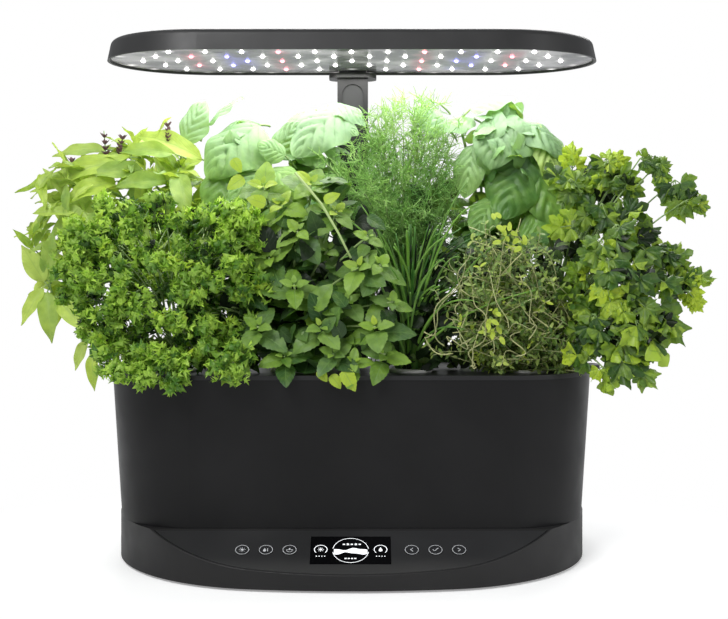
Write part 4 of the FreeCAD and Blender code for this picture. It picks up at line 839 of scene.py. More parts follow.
def sweet_basil(name, foot, shown, shoots, seed, depth):
    """Big domed leaves on a few upright shoots."""
    rng = np.random.default_rng(seed)
    leaves, stems = Sheaf(), Sheaf()
    for start, end, width, tone_and_painted_light, bend, face in shown:
        start, way, length = reach_between(start, end, bend)
        way = way + unit(face) * 0.45 * bend
        round_leaf(rng, width / length, bend).put(leaves, start, way, face, length, tone_and_painted_light)
        tube(stems, arc(start - unit(way) * 12 + (0, 5, -6), start, 4, 0.1), 1.1, 0.9, 0.5, 4)
    for tip, pairs in shoots:
        places = shoot_leaves(rng, stems, foot, tip, pairs, 0.5, (2.4, 1.2), (0.3, 0.8), 0.3, 0.68)
        for point, _, turn in places:
            way = unit((math.cos(turn), math.sin(turn), 0.35))
            length = rng.uniform(26, 46)
            if not clear_of(point + way * length, 5):
                continue
            blade = round_leaf(rng, rng.uniform(0.6, 0.78), rng.uniform(0.4, 1.2), False)
            blade.put(leaves, point, way, (0, -0.3, 1), length, rng.beta(1.6, 1.8))
    kinds = [round_leaf(rng, rng.uniform(0.6, 0.75), rng.uniform(0.3, 1.0), False) for _ in range(5)]
    understory(rng, leaves, kinds, *depth, 70, (22, 38))
    clothe(rng, leaves, kinds, name, 150, (20, 38), (0.0, 0.9))
    leaves.piece(name + "_leaves", "basil", "basil_leaf", name)
    stems.piece(name + "_stems", "stalk", "basil_leaf")


AHEAD, SKYWARD = (0.0, -1.0, 0.5), (0.0, -0.45, 1.0)


def sweet_basil_left(foot):
    """Between the mint and the post. Each leaf in view: foot, tip, width, tone and painted light, bend and
    its face.
    """
    shown = [
        ((-84, 26, 381), (-128, 8, 332), 62, 0.6, 0.9, (-0.25, -1.0, 0.7)),
        ((-112, 18, 346), (-121, 2, 294), 44, 0.35, 0.5, (-0.15, -1.0, 0.35)),
        ((-154, 34, 366), (-134, 30, 403), 32, 0.75, 0.4, (-0.4, -1.0, 0.3)),
        ((-132, 34, 382), (-101, 30, 408), 13, 0.95, 0.5, SKYWARD),
        ((-72, 34, 352), (-48, 22, 384), 28, 0.55, 0.5, AHEAD),
        ((-6, 34, 396), (-50, 12, 352), 54, 0.5, 1.0, (-0.15, -1.0, 0.75)),
        ((-22, 40, 400), (10, 24, 380), 26, 0.45, 1.3, (0.2, -0.7, 1.0)),
        ((-34, 40, 396), (-58, 34, 384), 18, 0.95, 0.7, SKYWARD),
        ((-16, 26, 384), (6, 16, 371), 15, 1.0, 0.6, AHEAD),
        ((-76, 8, 340), (-108, -8, 312), 30, 0.4, 0.6, (-0.2, -1.0, 0.6)),
        ((-74, 6, 340), (-45, -8, 321), 30, 0.85, 0.7, (0.2, -1.0, 0.6)),
        ((-60, 8, 352), (-84, 0, 362), 24, 0.6, 0.5, AHEAD),
        ((-44, 6, 330), (-20, -6, 300), 30, 0.35, 0.7, (0.2, -1.0, 0.5)),
        ((-92, 0, 318), (-112, -14, 290), 28, 0.5, 0.7, (-0.2, -1.0, 0.5)),
        ((-60, -2, 306), (-78, -16, 276), 30, 0.3, 0.6, (-0.1, -1.0, 0.5)),
    ]
    shoots = [
        ((-84, 34, 372), 6), ((-30, 36, 384), 6), ((-60, 50, 360), 6), ((-100, 46, 336), 5),
        ((-40, 30, 330), 5), ((-112, 60, 366), 4),
    ]
    depth = ((-110, -10, 172), (10, 66, 330))
    sweet_basil("sweet_basil_left", foot, shown, shoots, 31, depth)


def sweet_basil_right(foot):
    """Behind the thyme. Its leaves are written as the left one's are."""
    shown = [
        ((140, 26, 388), (124, 4, 340), 48, 0.45, 0.9, (-0.1, -1.0, 0.55)),
        ((150, 30, 384), (188, 16, 350), 36, 0.3, 1.1, (0.3, -0.8, 0.9)),
        ((152, 20, 350), (136, 2, 295), 52, 0.15, 0.4, (-0.1, -1.0, 0.2)),
        ((164, 24, 348), (183, 6, 287), 46, 0.25, 0.4, (0.15, -1.0, 0.2)),
        ((108, 34, 396), (148, 26, 404), 32, 0.75, 0.8, SKYWARD),
        ((88, 34, 380), (56, 22, 396), 36, 0.7, 0.8, (-0.2, -1.0, 0.9)),
        ((80, 44, 403), (42, 38, 407), 16, 0.8, 0.6, SKYWARD),
        ((139, 26, 388), (141, 25, 401), 7, 0.95, 0.2, AHEAD),
        ((110, 22, 362), (101, 6, 314), 30, 0.55, 0.5, (-0.2, -1.0, 0.2)),
        # These two are painted yellow, as leaves lit through.
        ((182, 26, 362), (194, 16, 322), 20, 1.2, 0.6, (0.3, -1.0, 0.4)),
        ((172, 22, 378), (180, 6, 322), 26, 1.5, 0.4, (0.4, -1.0, 0.2)),
        ((112, 40, 388), (78, 30, 372), 34, 0.6, 0.9, SKYWARD),
        ((128, 14, 314), (108, -4, 280), 30, 0.3, 0.6, AHEAD),
        ((162, 12, 300), (172, -6, 262), 32, 0.2, 0.5, AHEAD),
    ]
    shoots = [
        ((138, 32, 380), 6), ((160, 36, 364), 6), ((100, 44, 380), 5), ((170, 56, 330), 5),
        ((120, 60, 340), 5),
    ]
    depth = ((60, -6, 172), (196, 70, 325))
    sweet_basil("sweet_basil_right", foot, shown, shoots, 37, depth)


def mint_blade(rng):
    return oval_blade(14, 6, rng.uniform(0.56, 0.68), (0.42, 0.85), rng.uniform(0.2, 0.9), fold=0.16,
                      dome=0.1, pucker=0.045, veins=6.0, slant=0.3, wave=0.015, tooth=0.09,
                      phase=rng.uniform(0, 6))


def mint(foot):
    """Square-stemmed shoots with toothed leaves in crossed pairs, each ending in a small rosette."""
    rng = np.random.default_rng(41)
    leaves, stems = Sheaf(), Sheaf()
    kinds = [mint_blade(rng) for _ in range(12)]
    # Each shoot's tip, the length of its largest leaves, how light it is and how it leans to the sides.
    shoots = [
        ((-46, -104, 240), 27, 0.45, 0.0), ((-24, -108, 206), 27, 0.4, 0.1),
        ((20, -106, 206), 29, 0.5, -0.2), ((6, -98, 254), 28, 0.6, -0.3), ((-12, -88, 300), 20, 0.9, 0.2),
        ((-76, -104, 206), 26, 0.35, -0.2), ((-44, -86, 284), 26, 0.5, -0.2),
        ((-68, -86, 262), 27, 0.3, -0.3), ((24, -94, 256), 26, 0.5, 0.4),
        ((-30, -100, 226), 22, 0.25, 0.2), ((2, -106, 178), 22, 0.6, 0.1),
        ((-54, -104, 182), 24, 0.2, 0.0), ((14, -92, 280), 15, 0.6, 0.1),
        ((-84, -76, 290), 29, 0.85, -0.5), ((-20, -74, 268), 27, 0.25, 0.0),
        ((-2, -90, 226), 24, 0.2, 0.0), ((-58, -74, 306), 26, 0.85, -0.3),
        ((-34, -66, 324), 27, 0.7, 0.3), ((-74, -70, 322), 28, 1.0, -0.2), ((34, -98, 226), 20, 0.2, 0.3),
        ((-84, -92, 238), 22, 0.3, -0.2), ((-14, -108, 184), 24, 0.3, -0.1),
        ((28, -104, 184), 22, 0.3, 0.2), ((-94, -98, 180), 18, 0.7, -0.2),
    ]
    # How large each pair at a tip is, from the outer one inwards, how far back and how spread.
    rosette = ((1.0, 9.0, 0.05), (0.9, 3.5, 0.2), (0.5, 0.0, 0.5), (0.28, -1.5, 0.9))
    for tip, length, bright, lean in shoots:
        tip = np.array(tip, dtype=float)
        line = arc(beside(rng, foot, 5), tip, 16, 0.45)
        tube(stems, line, 1.4, 0.9, rng.uniform(0.3, 1.1), 4)
        axis = unit((lean, -0.8, 0.75))
        side = unit(np.cross(axis, (0.1 + rng.normal() * 0.5, 0.2, 1.0)))
        other = np.cross(axis, side)
        turn = rng.uniform(0, math.pi)
        for ring, (grown, back, spread) in enumerate(rosette):
            turn += math.pi / 2
            for out in crossed(side, other, turn):
                way = unit(out + axis * spread + rng.normal(size=3) * 0.1)
                # Inner pairs are paler: younger leaves, and a painted highlight.
                tone_and_painted_light = bright - 0.25 + 0.33 * ring + rng.normal() * 0.22
                size = length * grown * rng.uniform(0.85, 1.1)
                at = tip - axis * back + out * 1.5
                kinds[rng.integers(12)].put(leaves, at, way, axis, size, tone_and_painted_light)
        for at in (6, 9, 12):
            turn += math.pi / 2
            for half in (0, math.pi):
                out = unit((math.cos(turn + half), math.sin(turn + half) * 0.6 - 0.4, 0.2))
                size = length * rng.uniform(0.75, 1.05)
                blade = kinds[rng.integers(12)]
                blade.put(leaves, line[at], out, (0, -0.6, 0.8), size, rng.uniform(-0.4, 0.3))
    understory(rng, leaves, kinds, (-100, -84, 172), (16, -40, 296), 230, (16, 26), (-1.0, 0.0))
    understory(rng, leaves, kinds, (30, -70, 170), (82, -34, 236), 90, (12, 20), (-1.1, -0.2))
    clothe(rng, leaves, kinds, "mint", 100, (14, 28), (-0.6, 0.45))
    # The pale shoot that leans out in front, and the small yellow leaves.
    pale = [(-46, -86, 332), (-34, -92, 318), (-24, -96, 306), (-10, -98, 282), (0, -98, 262)]
    tube(stems, pale, 1.3, 1.0, 1.6, 6)
    yellow = [
        ((-22, -98, 308), (-8, -100, 316), 15), ((-70, -92, 306), (-84, -98, 312), 17),
        ((-88, -92, 328), (-100, -96, 320), 17), ((-16, -112, 168), (-8, -116, 158), 14),
        ((-26, -112, 172), (-18, -116, 162), 12), ((-6, -112, 172), (4, -118, 156), 20),
        ((-94, -104, 176), (-84, -108, 190), 12), ((-98, -84, 344), (-90, -88, 332), 14),
    ]
    for start, end, size in yellow:
        way = np.subtract(end, start)
        kinds[rng.integers(12)].put(leaves, start, way, (0, -1, 0.4), size, 1.7)
    leaves.piece("mint_leaves", "mint", "mint_leaf", "mint")
    stems.piece("mint_stems", "stalk", "mint_leaf")


def dill(foot):
    """Feathery fronds: each rib carries branches that split into threads."""
    rng = np.random.default_rng(53)
    threads, stems = Sheaf(), Sheaf()
    fronds = [
        (12, 30, 384), (36, 26, 394), (60, 28, 384), (-2, 12, 352), (26, 8, 364), (56, 10, 356),
        (80, 22, 356), (88, 10, 322), (12, -4, 330), (44, -8, 334), (68, -6, 312), (-6, -10, 304),
        (28, -16, 300), (54, -18, 290), (82, -8, 282), (8, -18, 276), (94, 26, 376), (74, 40, 400),
        (20, 20, 352), (48, 20, 372), (70, 14, 340), (36, 0, 312), (60, 0, 326), (0, 0, 336),
        (16, 36, 366), (92, 0, 304), (30, -12, 272), (58, -14, 262), (24, 10, 384), (66, 24, 396),
        (-8, -44, 330), (10, -52, 316), (28, -50, 306), (-20, -36, 344), (22, -56, 284), (4, -30, 352),
        (44, -40, 296), (62, -34, 300), (84, 16, 340), (16, -34, 330),
    ]
    for tip in fronds:
        tip = np.array(tip, dtype=float) + rng.normal(size=3) * 2
        line = arc(beside(rng, foot, 4), tip, 20, 0.55)
        tube(stems, line, 1.1, 0.5, rng.uniform(0.3, 0.9), 4)
        # Fronds are painted paler the higher they reach: a painted highlight under the hood.
        pale = max(0.0, (tip[2] - 330) / 60)
        for k in range(14):
            at = int(20 * (0.52 + 0.48 * k / 13))
            point = line[at]
            along = unit(line[at] - line[at - 1])
            side = unit(np.cross(along, rng.normal(size=3)))
            for sign in (-1, 1):
                length = (27 - 1.1 * k) * rng.uniform(0.75, 1.15)
                way = unit(side * sign + along * 0.8)
                twig = arc(point, point + way * length, 4, 0.12)
                if not clear_of(twig[-1], 2) or twig[-1][2] < DECK_TOP + 3:
                    continue
                shade = rng.beta(1.6, 2.0) + 0.5 * pale
                tube(threads, twig, 0.45, 0.3, shade, 3)
                for m in range(9):
                    start = twig[1] + (twig[-1] - twig[1]) * m / 8
                    reach = rng.uniform(6, 12)
                    ray = unit(way * 0.9 + direction(rng) * 0.9)
                    mid = start + ray * reach * 0.5 + rng.normal(size=3) * 0.7
                    tube(threads, [start, mid, start + ray * reach], 0.36, 0.2, shade, 3)
    for spot, out in crown_spots(rng, "dill", 420, (2, 9)):
        # Crown threads are painted paler the higher they stand.
        shade = rng.uniform(-0.1, 0.5) + max(0.0, (spot[2] - 330) / 90)
        way = unit(out * 0.5 + (0, 0, 0.7) + direction(rng) * 0.4)
        if not clear_of(spot + way * 12, 3):
            continue
        tube(threads, arc(spot - way * 10, spot + way * 9, 3, 0.1), 0.42, 0.25, shade, 3)
        for m in range(7):
            start = spot + way * (3.0 * m - 10)
            ray = unit(way * 0.8 + direction(rng) * 0.9)
            end = start + ray * rng.uniform(7, 11)
            tube(threads, [start, start + ray * 5, end], 0.36, 0.2, shade, 3)
    # Threads low in the plant are painted dark with shade.
    for _ in range(260):
        start = rng.uniform((0, -30, 168), (60, 30, 250))
        way = unit(rng.normal(size=3) * (0.5, 0.4, 0.3) + (0, 0, 1.0))
        line = arc(start, start + way * rng.uniform(20, 44), 3, 0.2)
        tube(threads, line, 0.42, 0.2, rng.uniform(-0.5, 0.2), 3)
    threads.piece("dill_threads", "dill", "dill_leaf", "dill")
    stems.piece("dill_stems", "stalk", "dill_leaf")


def chives(foot):
    """A clump of smooth tubular blades, most upright and some bent over."""
    rng = np.random.default_rng(61)
    blades = Sheaf()
    upright, filling, in_front = 78, 26, 14
    for k in range(upright):
        turn = rng.uniform(0, 2 * math.pi)
        lean = abs(rng.normal()) * 0.24
        height = rng.uniform(70, 124)
        start = foot + np.array((math.cos(turn), math.sin(turn), 0)) * rng.uniform(0, 4.5)
        way = np.array((math.cos(turn) * lean, math.sin(turn) * lean * 0.7 - 0.12, 1.0))
        line = arc(start, foot + way * height, 10, 0.6)
        # Every other blade is painted darker, as shade in the clump.
        tints = (-0.3, 0.6) if k % 2 else (-0.9, 0.1)
        tube(blades, line, rng.uniform(1.2, 1.8), 0.6, rng.uniform(*tints))
    # Filling blades further back are painted dark with shade.
    for _ in range(filling):
        start = foot + rng.normal(size=3) * (4, 3, 0)
        tip = np.array((rng.uniform(54, 108), rng.uniform(-62, -34), rng.uniform(216, 292)))
        tube(blades, arc(start, tip, 10, 0.7), rng.uniform(1.2, 1.7), 0.6, rng.uniform(-0.8, 0.2))
    for _ in range(in_front):
        start = foot + rng.normal(size=3) * (3, 1.5, 0) + (0, -3, 0)
        tip = np.array((rng.uniform(22, 88), rng.uniform(-94, -78), rng.uniform(226, 296)))
        tube(blades, arc(start, tip, 12, 0.75), 1.9, 0.7, rng.uniform(0.7, 1.1))
    # Where each blade that bends over has its knee, and its tip.
    bent = [
        ((90, -74, 262), (140, -86, 286)), ((20, -80, 276), (-6, -92, 262)),
        ((64, -86, 238), (104, -98, 226)), ((34, -86, 226), (6, -98, 236)),
        ((64, -76, 284), (94, -84, 322)), ((46, -88, 244), (76, -102, 262)),
        ((42, -70, 262), (8, -80, 306)), ((74, -88, 218), (150, -104, 236)),
        ((36, -80, 300), (-30, -92, 300)), ((70, -80, 300), (104, -90, 306)),
        ((52, -86, 236), (32, -100, 254)), ((60, -90, 214), (92, -104, 204)),
        ((66, -60, 290), (84, -62, 250)), ((72, -64, 270), (92, -66, 262)),
        ((60, -66, 296), (78, -72, 280)),
    ]
    for knee, tip in bent:
        start = foot + rng.normal(size=3) * (2, 2, 0)
        tube(blades, curve(start, knee, tip, 14), 1.5, 0.5, rng.uniform(0.3, 1.1))
    blades.piece("chive_blades", "chive", "chive_leaf", "chives")


def thyme(foot):
    """A tangle of wiry stems with tiny leaves, some dry and yellow."""
    rng = np.random.default_rng(71)
    leaves, stems = Sheaf(), Sheaf()
    kinds = [oval_blade(4, 2, 0.42, (0.45, 0.6), rng.uniform(0, 0.8), fold=0.1) for _ in range(5)]
    on_crown, in_front, on_top, runners, small_leaves = 150, 70, 24, 16, 700
    tips = [spot for spot, _ in crown_spots(rng, "thyme", on_crown, (-6, 6))]
    tips += [rng.uniform((60, -106, 172), (176, -50, 262)) for _ in range(in_front)]
    tips += [rng.uniform((96, -96, 262), (160, -70, 290)) for _ in range(on_top)]
    steps = np.linspace(0, 1, 25)[:, None]
    for tip in tips:
        tip[2] = max(tip[2], DECK_TOP + 7)
        sway = rng.normal(size=3) * (40, 16, 24)
        line = arc(beside(rng, foot, 6), tip, 24, 0.4, sway)
        line += np.sin(steps * rng.uniform(6, 18)) * rng.normal(size=3) * (5, 2.5, 4) * steps
        line[:, 2] = np.maximum(line[:, 2], foot[2] + rng.uniform(0, 3))
        dry = rng.random() < 0.3
        tints = (0.7, 1.5) if dry else (-0.3, 0.5)
        tube(stems, line, 0.8, 0.4, rng.uniform(*tints), 4)
        turn = rng.uniform(0, 3)
        for at in range(7, 25):
            if dry and rng.random() < 0.5:
                continue
            along = unit(line[at] - line[at - 1])
            side = unit(np.cross(along, (0.2, 0.9, 0.4)))
            other = np.cross(along, side)
            turn += math.pi / 2 + rng.normal() * 0.2
            tone_and_painted_light = rng.uniform(1.1, 1.9) if dry and rng.random() < 0.5 else rng.beta(1.4, 2.2) * 1.1 - 0.25
            for out in crossed(side, other, turn):
                way, face = unit(out + along * 0.5), unit(along + (0, -0.6, 0.6))
                kinds[rng.integers(5)].put(leaves, line[at], way, face, rng.uniform(4.0, 7.5), tone_and_painted_light)
    # Bare, curling runners in front.
    for _ in range(runners):
        start = rng.uniform((58, -104, 172), (150, -88, 214))
        end = start + rng.uniform((-34, -6, 14), (34, 4, 62))
        line = arc(start, end, 24, 0.3, rng.normal(size=3) * (16, 3, 8))
        line += np.sin(steps * rng.uniform(7, 14)) * rng.normal(size=3) * (4, 2, 3)
        line[:, 2] = np.maximum(line[:, 2], DECK_TOP + 3)
        tube(stems, line, 0.6, 0.35, rng.uniform(0.2, 1.1), 4)
    kinds = [oval_blade(6, 2, 0.5, (0.45, 0.6), 0.5) for _ in range(2)]
    understory(rng, leaves, kinds, (60, -60, 170), (176, -30, 272), small_leaves, (8, 15), (-1.0, 0.1))
    for spot in ((120, -100, 288), (138, -100, 276), (112, -104, 216), (118, -104, 206), (128, -98, 282)):
        for _ in range(5):
            kinds[0].put(leaves, spot + rng.normal(size=3) * 3, direction(rng), (0, -1, 0.3), 8, 1.9)
    leaves.piece("thyme_leaves", "thyme", "thyme_leaf", "thyme")
    stems.piece("thyme_stems", "thyme_stem", "thyme_leaf")


def italian_parsley(foot):
    """Long stalks that carry flat leaves of three times three toothed leaflets."""
    rng = np.random.default_rng(83)
    leaves, stems = Sheaf(), Sheaf()
    kinds = [
        fan_blade(26, 3, 1.35, 3, 0.42, 9.5, 0.13, 0.2, 3.0, rng.uniform(0.0, 0.45), k * 1.1)
        for k in range(8)
    ]
    # Where each compound leaf in view has its middle, its size, its tone and painted light, and the way it
    # points.
    shown = [
        ((194, -24, 350), 22, 1.7, (0.1, 0, 1)), ((206, -30, 338), 26, 0.3, (0.4, 0, 0.8)),
        ((222, -34, 334), 30, 0.3, (0.2, -0.2, -0.6)), ((230, -34, 346), 20, 1.3, (1.0, 0, 0.3)),
        ((238, -40, 322), 28, 0.15, (0.6, -0.2, -0.8)), ((258, -44, 344), 22, 0.1, (1.0, 0, -0.4)),
        ((268, -46, 334), 20, 0.2, (0.8, 0, -0.9)), ((282, -48, 312), 34, 0.25, (0.5, -0.2, -1)),
        ((296, -48, 306), 24, 0.4, (1.0, 0, -0.2)), ((176, -40, 330), 24, 0.4, (-0.5, 0, 0.7)),
        ((186, -50, 318), 24, 0.25, (-0.2, -0.2, -0.6)), ((198, -56, 298), 24, 0.35, (-0.6, -0.2, -0.3)),
        ((176, -60, 288), 24, 0.9, (-0.8, 0, -0.2)), ((216, -60, 296), 26, 0.1, (0.3, -0.3, -0.6)),
        ((236, -60, 300), 26, 0.05, (0.6, -0.2, 0.3)), ((252, -58, 288), 26, 0.1, (0.8, -0.2, -0.3)),
        ((222, -76, 276), 30, 0.05, (0.0, -0.4, -0.8)), ((246, -72, 268), 30, 0.05, (0.5, -0.3, -0.7)),
        ((266, -64, 264), 26, 0.15, (0.9, -0.2, -0.4)), ((200, -80, 268), 26, 0.3, (-0.5, -0.3, -0.3)),
        ((214, -88, 250), 30, 0.1, (-0.1, -0.4, -0.8)), ((238, -88, 246), 30, 0.05, (0.4, -0.3, -0.7)),
        ((260, -80, 240), 28, 0.1, (0.8, -0.2, -0.5)), ((280, -64, 240), 24, 0.2, (0.9, 0, 0.1)),
        ((296, -58, 246), 22, 0.3, (1.0, 0, -0.5)), ((290, -62, 226), 20, 1.8, (0.4, 0, -0.8)),
        ((210, -96, 226), 26, 1.4, (-0.1, -0.3, -0.9)), ((222, -96, 218), 24, 1.1, (0.2, -0.3, -0.9)),
        ((240, -94, 220), 28, 0.2, (0.5, -0.3, -0.6)), ((262, -86, 210), 38, 0.3, (0.6, -0.2, -1)),
        ((194, -98, 206), 24, 0.2, (-0.4, -0.2, -0.4)), ((206, -102, 192), 28, 0.1, (0.1, -0.2, -0.8)),
        ((244, -102, 196), 40, 0.35, (0.7, -0.3, -0.9)), ((222, -106, 178), 36, 0.3, (0.1, -0.2, -1)),
        ((238, -104, 170), 28, 0.3, (0.5, -0.2, -1)), ((186, -98, 184), 24, 0.15, (-0.3, -0.2, 0.3)),
        ((180, -84, 232), 20, 0.2, (-0.6, -0.2, 0.2)), ((188, -76, 250), 22, 0.5, (-0.7, -0.2, 0.3)),
        ((206, -110, 164), 22, 1.2, (0.2, -0.2, -0.8)),
    ]
    behind = []
    for spot, out in crown_spots(rng, "italian_parsley", 84, (4, 14)):
        if spot[0] > 246 and spot[2] > 264 or spot[0] > 262 and spot[2] < 226:
            continue
        shade = rng.uniform(-0.3, 0.7) if out[1] > -0.2 else rng.uniform(-0.8, 0.1)
        behind.append((spot, rng.uniform(18, 26), shade, out + direction(rng) * 0.7))
    for spot, size, shade, points in shown + behind:
        spot = np.array(spot, dtype=float)
        out = unit(unit(points) + rng.normal(size=3) * 0.12)
        base = spot - out * size * 0.5
        line = arc(beside(rng, foot, 4), base, 10, 0.4)
        tube(stems, line, 1.2, 0.6, rng.uniform(0, 0.8))
        face = unit((0.1, -0.9, 0.55) + rng.normal(size=3) * 0.25)
        side = unit(np.cross(out, face))
        for branch, reach in ((-1, 0.62), (0, 1.0), (1, 0.62)):
            way = unit(out + side * branch * 1.05 + rng.normal(size=3) * 0.12)
            node = base + way * size * (0.5 if branch == 0 else 0.25) * reach
            tube(stems, [base, (base + node) / 2, node], 0.5, 0.4, 0.4, 4)
            for part in (-1, 0, 1):
                ray = unit(way + side * part * 0.9 + rng.normal(size=3) * 0.1)
                grown = size * 0.66 * (1.0 if part == 0 else 0.8) * (1.0 if branch == 0 else 0.88)
                tilt = unit(face + rng.normal(size=3) * 0.25)
                mark = shade - 0.14 + rng.normal() * 0.3 + 1.2 * (rng.random() < 0.08)
                kinds[rng.integers(8)].put(leaves, node, ray, tilt, grown, mark)
    leaves.piece("italian_parsley_leaves", "flat", "flat_parsley_leaf", "italian_parsley")
    stems.piece("italian_parsley_stems", "stalk", "flat_parsley_leaf")


def make_materials():
    """Each herb's leaf: dark, light, glow and vein colours, its veins and slant, its gloss and glow."""
    return {
        "curly": leaf("parsley_leaf", (0.045, 0.155, 0.014), (0.56, 0.84, 0.10), (0.36, 0.74, 0.04),
                      (0.20, 0.40, 0.06), 3.0, 0.1, 0.4, 0.3, grey=0.12),
        "thai": leaf("thai_basil_leaf", (0.09, 0.24, 0.025), (0.62, 0.78, 0.13), (0.58, 0.76, 0.05),
                     (0.34, 0.50, 0.14), 7.0, 0.35, 0.36, 0.35, grey=0.5),
        # The basil's pale share is a painted highlight near the hood.
        "basil": leaf("basil_leaf", (0.03, 0.14, 0.018), (0.32, 0.55, 0.10), (0.38, 0.62, 0.03),
                      (0.10, 0.27, 0.05), 5.0, 0.4, 0.34, 0.3, pale=0.75, grey=0.3),
        "mint": leaf("mint_leaf", (0.018, 0.085, 0.01), (0.28, 0.47, 0.05), (0.20, 0.44, 0.02),
                     (0.20, 0.36, 0.10), 6.0, 0.3, 0.4, 0.26),
        "dill": leaf("dill_leaf", (0.055, 0.21, 0.035), (0.48, 0.77, 0.19), (0.36, 0.70, 0.09),
                     (0.22, 0.40, 0.12), 1.0, 0.0, 0.5, 0.3),
        "chive": leaf("chive_leaf", (0.02, 0.12, 0.01), (0.22, 0.44, 0.06), (0.14, 0.40, 0.03),
                      (0.08, 0.26, 0.03), 1.0, 0.0, 0.35, 0.22),
        "thyme": leaf("thyme_leaf", (0.035, 0.11, 0.012), (0.50, 0.62, 0.13), (0.34, 0.52, 0.04),
                      (0.22, 0.34, 0.12), 2.0, 0.2, 0.5, 0.25),
        "flat": leaf("flat_parsley_leaf", (0.02, 0.085, 0.007), (0.38, 0.55, 0.04), (0.34, 0.58, 0.02),
                     (0.14, 0.28, 0.05), 3.0, 0.1, 0.36, 0.28, grey=0.2),
        "flower": leaf("thai_basil_flower", (0.05, 0.022, 0.032), (0.26, 0.15, 0.17), (0.18, 0.08, 0.09),
                       (0.20, 0.12, 0.12), 1.0, 0.0, 0.6, 0.2, grey=0.0),
        "stalk": stalk("stalk", (0.07, 0.18, 0.03), (0.40, 0.53, 0.20)),
        "thyme_stem": stalk("thyme_stalk", (0.07, 0.11, 0.025), (0.55, 0.56, 0.26)),
    }


def make_herbs():
    """Each herb on its own pod."""
    places = {name: np.array(place) for name, place in pods().items()}
    basils = (thai_basil, sweet_basil_left, sweet_basil_right)
    for grow in (curly_parsley, *basils, mint, dill, chives, thyme, italian_parsley):
        grow(places[grow.__name__])


# Lamps under the hood


def make_lamps():
    """A small domed lens on each lamp."""
    finishes = {
        "leds_white": ("led_white", (1.0, 0.98, 0.95), 7.0),
        "leds_red": ("led_red", (1.0, 0.16, 0.22), 5.0),
        "leds_blue": ("led_blue", (0.22, 0.2, 1.0), 6.0),
    }
    for node, (slot, colour, strength) in finishes.items():
        points, faces = [], []
        rings, sides = 4, 12
        for middle in led_middles(node):
            first = len(points)
            for ring in range(rings + 1):
                tilt = math.pi / 2 * ring / rings
                radius = max(LENS_CROWN, LED_RADIUS * math.cos(tilt))
                for side in range(sides):
                    turn = 2 * math.pi * side / sides
                    x, y = radius * math.cos(turn), radius * math.sin(turn)
                    points.append(middle + Vector((x, y, -LED_RADIUS * LENS_HEIGHT * math.sin(tilt))))
            for ring in range(rings):
                for side in range(sides):
                    after = (side + 1) % sides
                    low, high = first + ring * sides, first + (ring + 1) * sides
                    faces.append((low + side, high + side, high + after, low + after))
            faces.append([first + side for side in range(sides)])
            faces.append([first + rings * sides + side for side in reversed(range(sides))])
        made = new_object(node + "_lenses", points, faces, glowing(slot, colour, strength))
        for polygon in made.data.polygons:
            polygon.use_smooth = len(polygon.vertices) == 4
        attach(made, "light_unit")
        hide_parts(node)


# Printed and lit graphics on the control panel

PANEL_TILT = math.radians(27.5)
PANEL_REAR = 94.5
PANEL_TOP = 40.0
CONTROL_DOWN = 26.0
LENS_RISE = -0.2
KEY_RISE = 0.5
SURFACE_GAP = 0.06


class Print:
    """Flat shapes that lie on the sloped panel. Places are millimetres across it and up its slope."""

    def __init__(self, middle, rise):
        self.middle, self.rise = middle, rise
        self.points, self.faces = [], []

    def shape(self, *corners):
        first = len(self.points)
        for across, up in corners:
            down = CONTROL_DOWN - up
            rise = self.rise + SURFACE_GAP
            y = -PANEL_REAR - down * math.cos(PANEL_TILT) - rise * math.sin(PANEL_TILT)
            z = PANEL_TOP - down * math.sin(PANEL_TILT) + rise * math.cos(PANEL_TILT)
            self.points.append(((self.middle + across) * MM, y * MM, z * MM))
        self.faces.append(tuple(range(first, first + len(corners))))

    def ring(self, x, y, radius, line, start=0.0, end=360.0, steps=40):
        for k in range(steps):
            a, b = (math.radians(start + (end - start) * (k + n) / steps) for n in (0, 1))
            self.shape(*[(x + r * math.cos(t), y + r * math.sin(t))
                         for r, t in ((radius - line, a), (radius, a), (radius, b), (radius - line, b))])

    def disc(self, x, y, radius, steps=20):
        turns = [2 * math.pi * k / steps for k in range(steps)]
        self.shape(*[(x + radius * math.cos(t), y + radius * math.sin(t)) for t in turns])

    def bar(self, start, end, line):
        (ax, ay), (bx, by) = start, end
        length = math.hypot(bx - ax, by - ay)
        px, py = -(by - ay) / length * line / 2, (bx - ax) / length * line / 2
        self.shape((ax + px, ay + py), (ax - px, ay - py), (bx - px, by - py), (bx + px, by + py))

    def drop(self, x, y, radius):
        round_part = [math.radians(150 + 240 * k / 16) for k in range(17)]
        low = [(x + radius * math.cos(t), y + radius * math.sin(t)) for t in round_part]
        self.shape(*low, (x, y + 2.3 * radius))

    def sun(self, x, y, radius):
        self.disc(x, y, radius)
        for k in range(8):
            way = (math.cos(k * math.pi / 4), math.sin(k * math.pi / 4))
            near, far = [(x + way[0] * r, y + way[1] * r) for r in (radius * 1.5, radius * 2.3)]
            self.bar(near, far, radius * 0.35)

    def piece(self, name, material, slot, body):
        made = new_object(name, self.points, self.faces, material)
        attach(made, body)


def wave(x, drift):
    """The height of the tank's water line at a place across the display."""
    return 1.1 * math.sin(x / 3.4 + drift) + 0.5 * math.sin(x / 1.7 + 2 * drift)


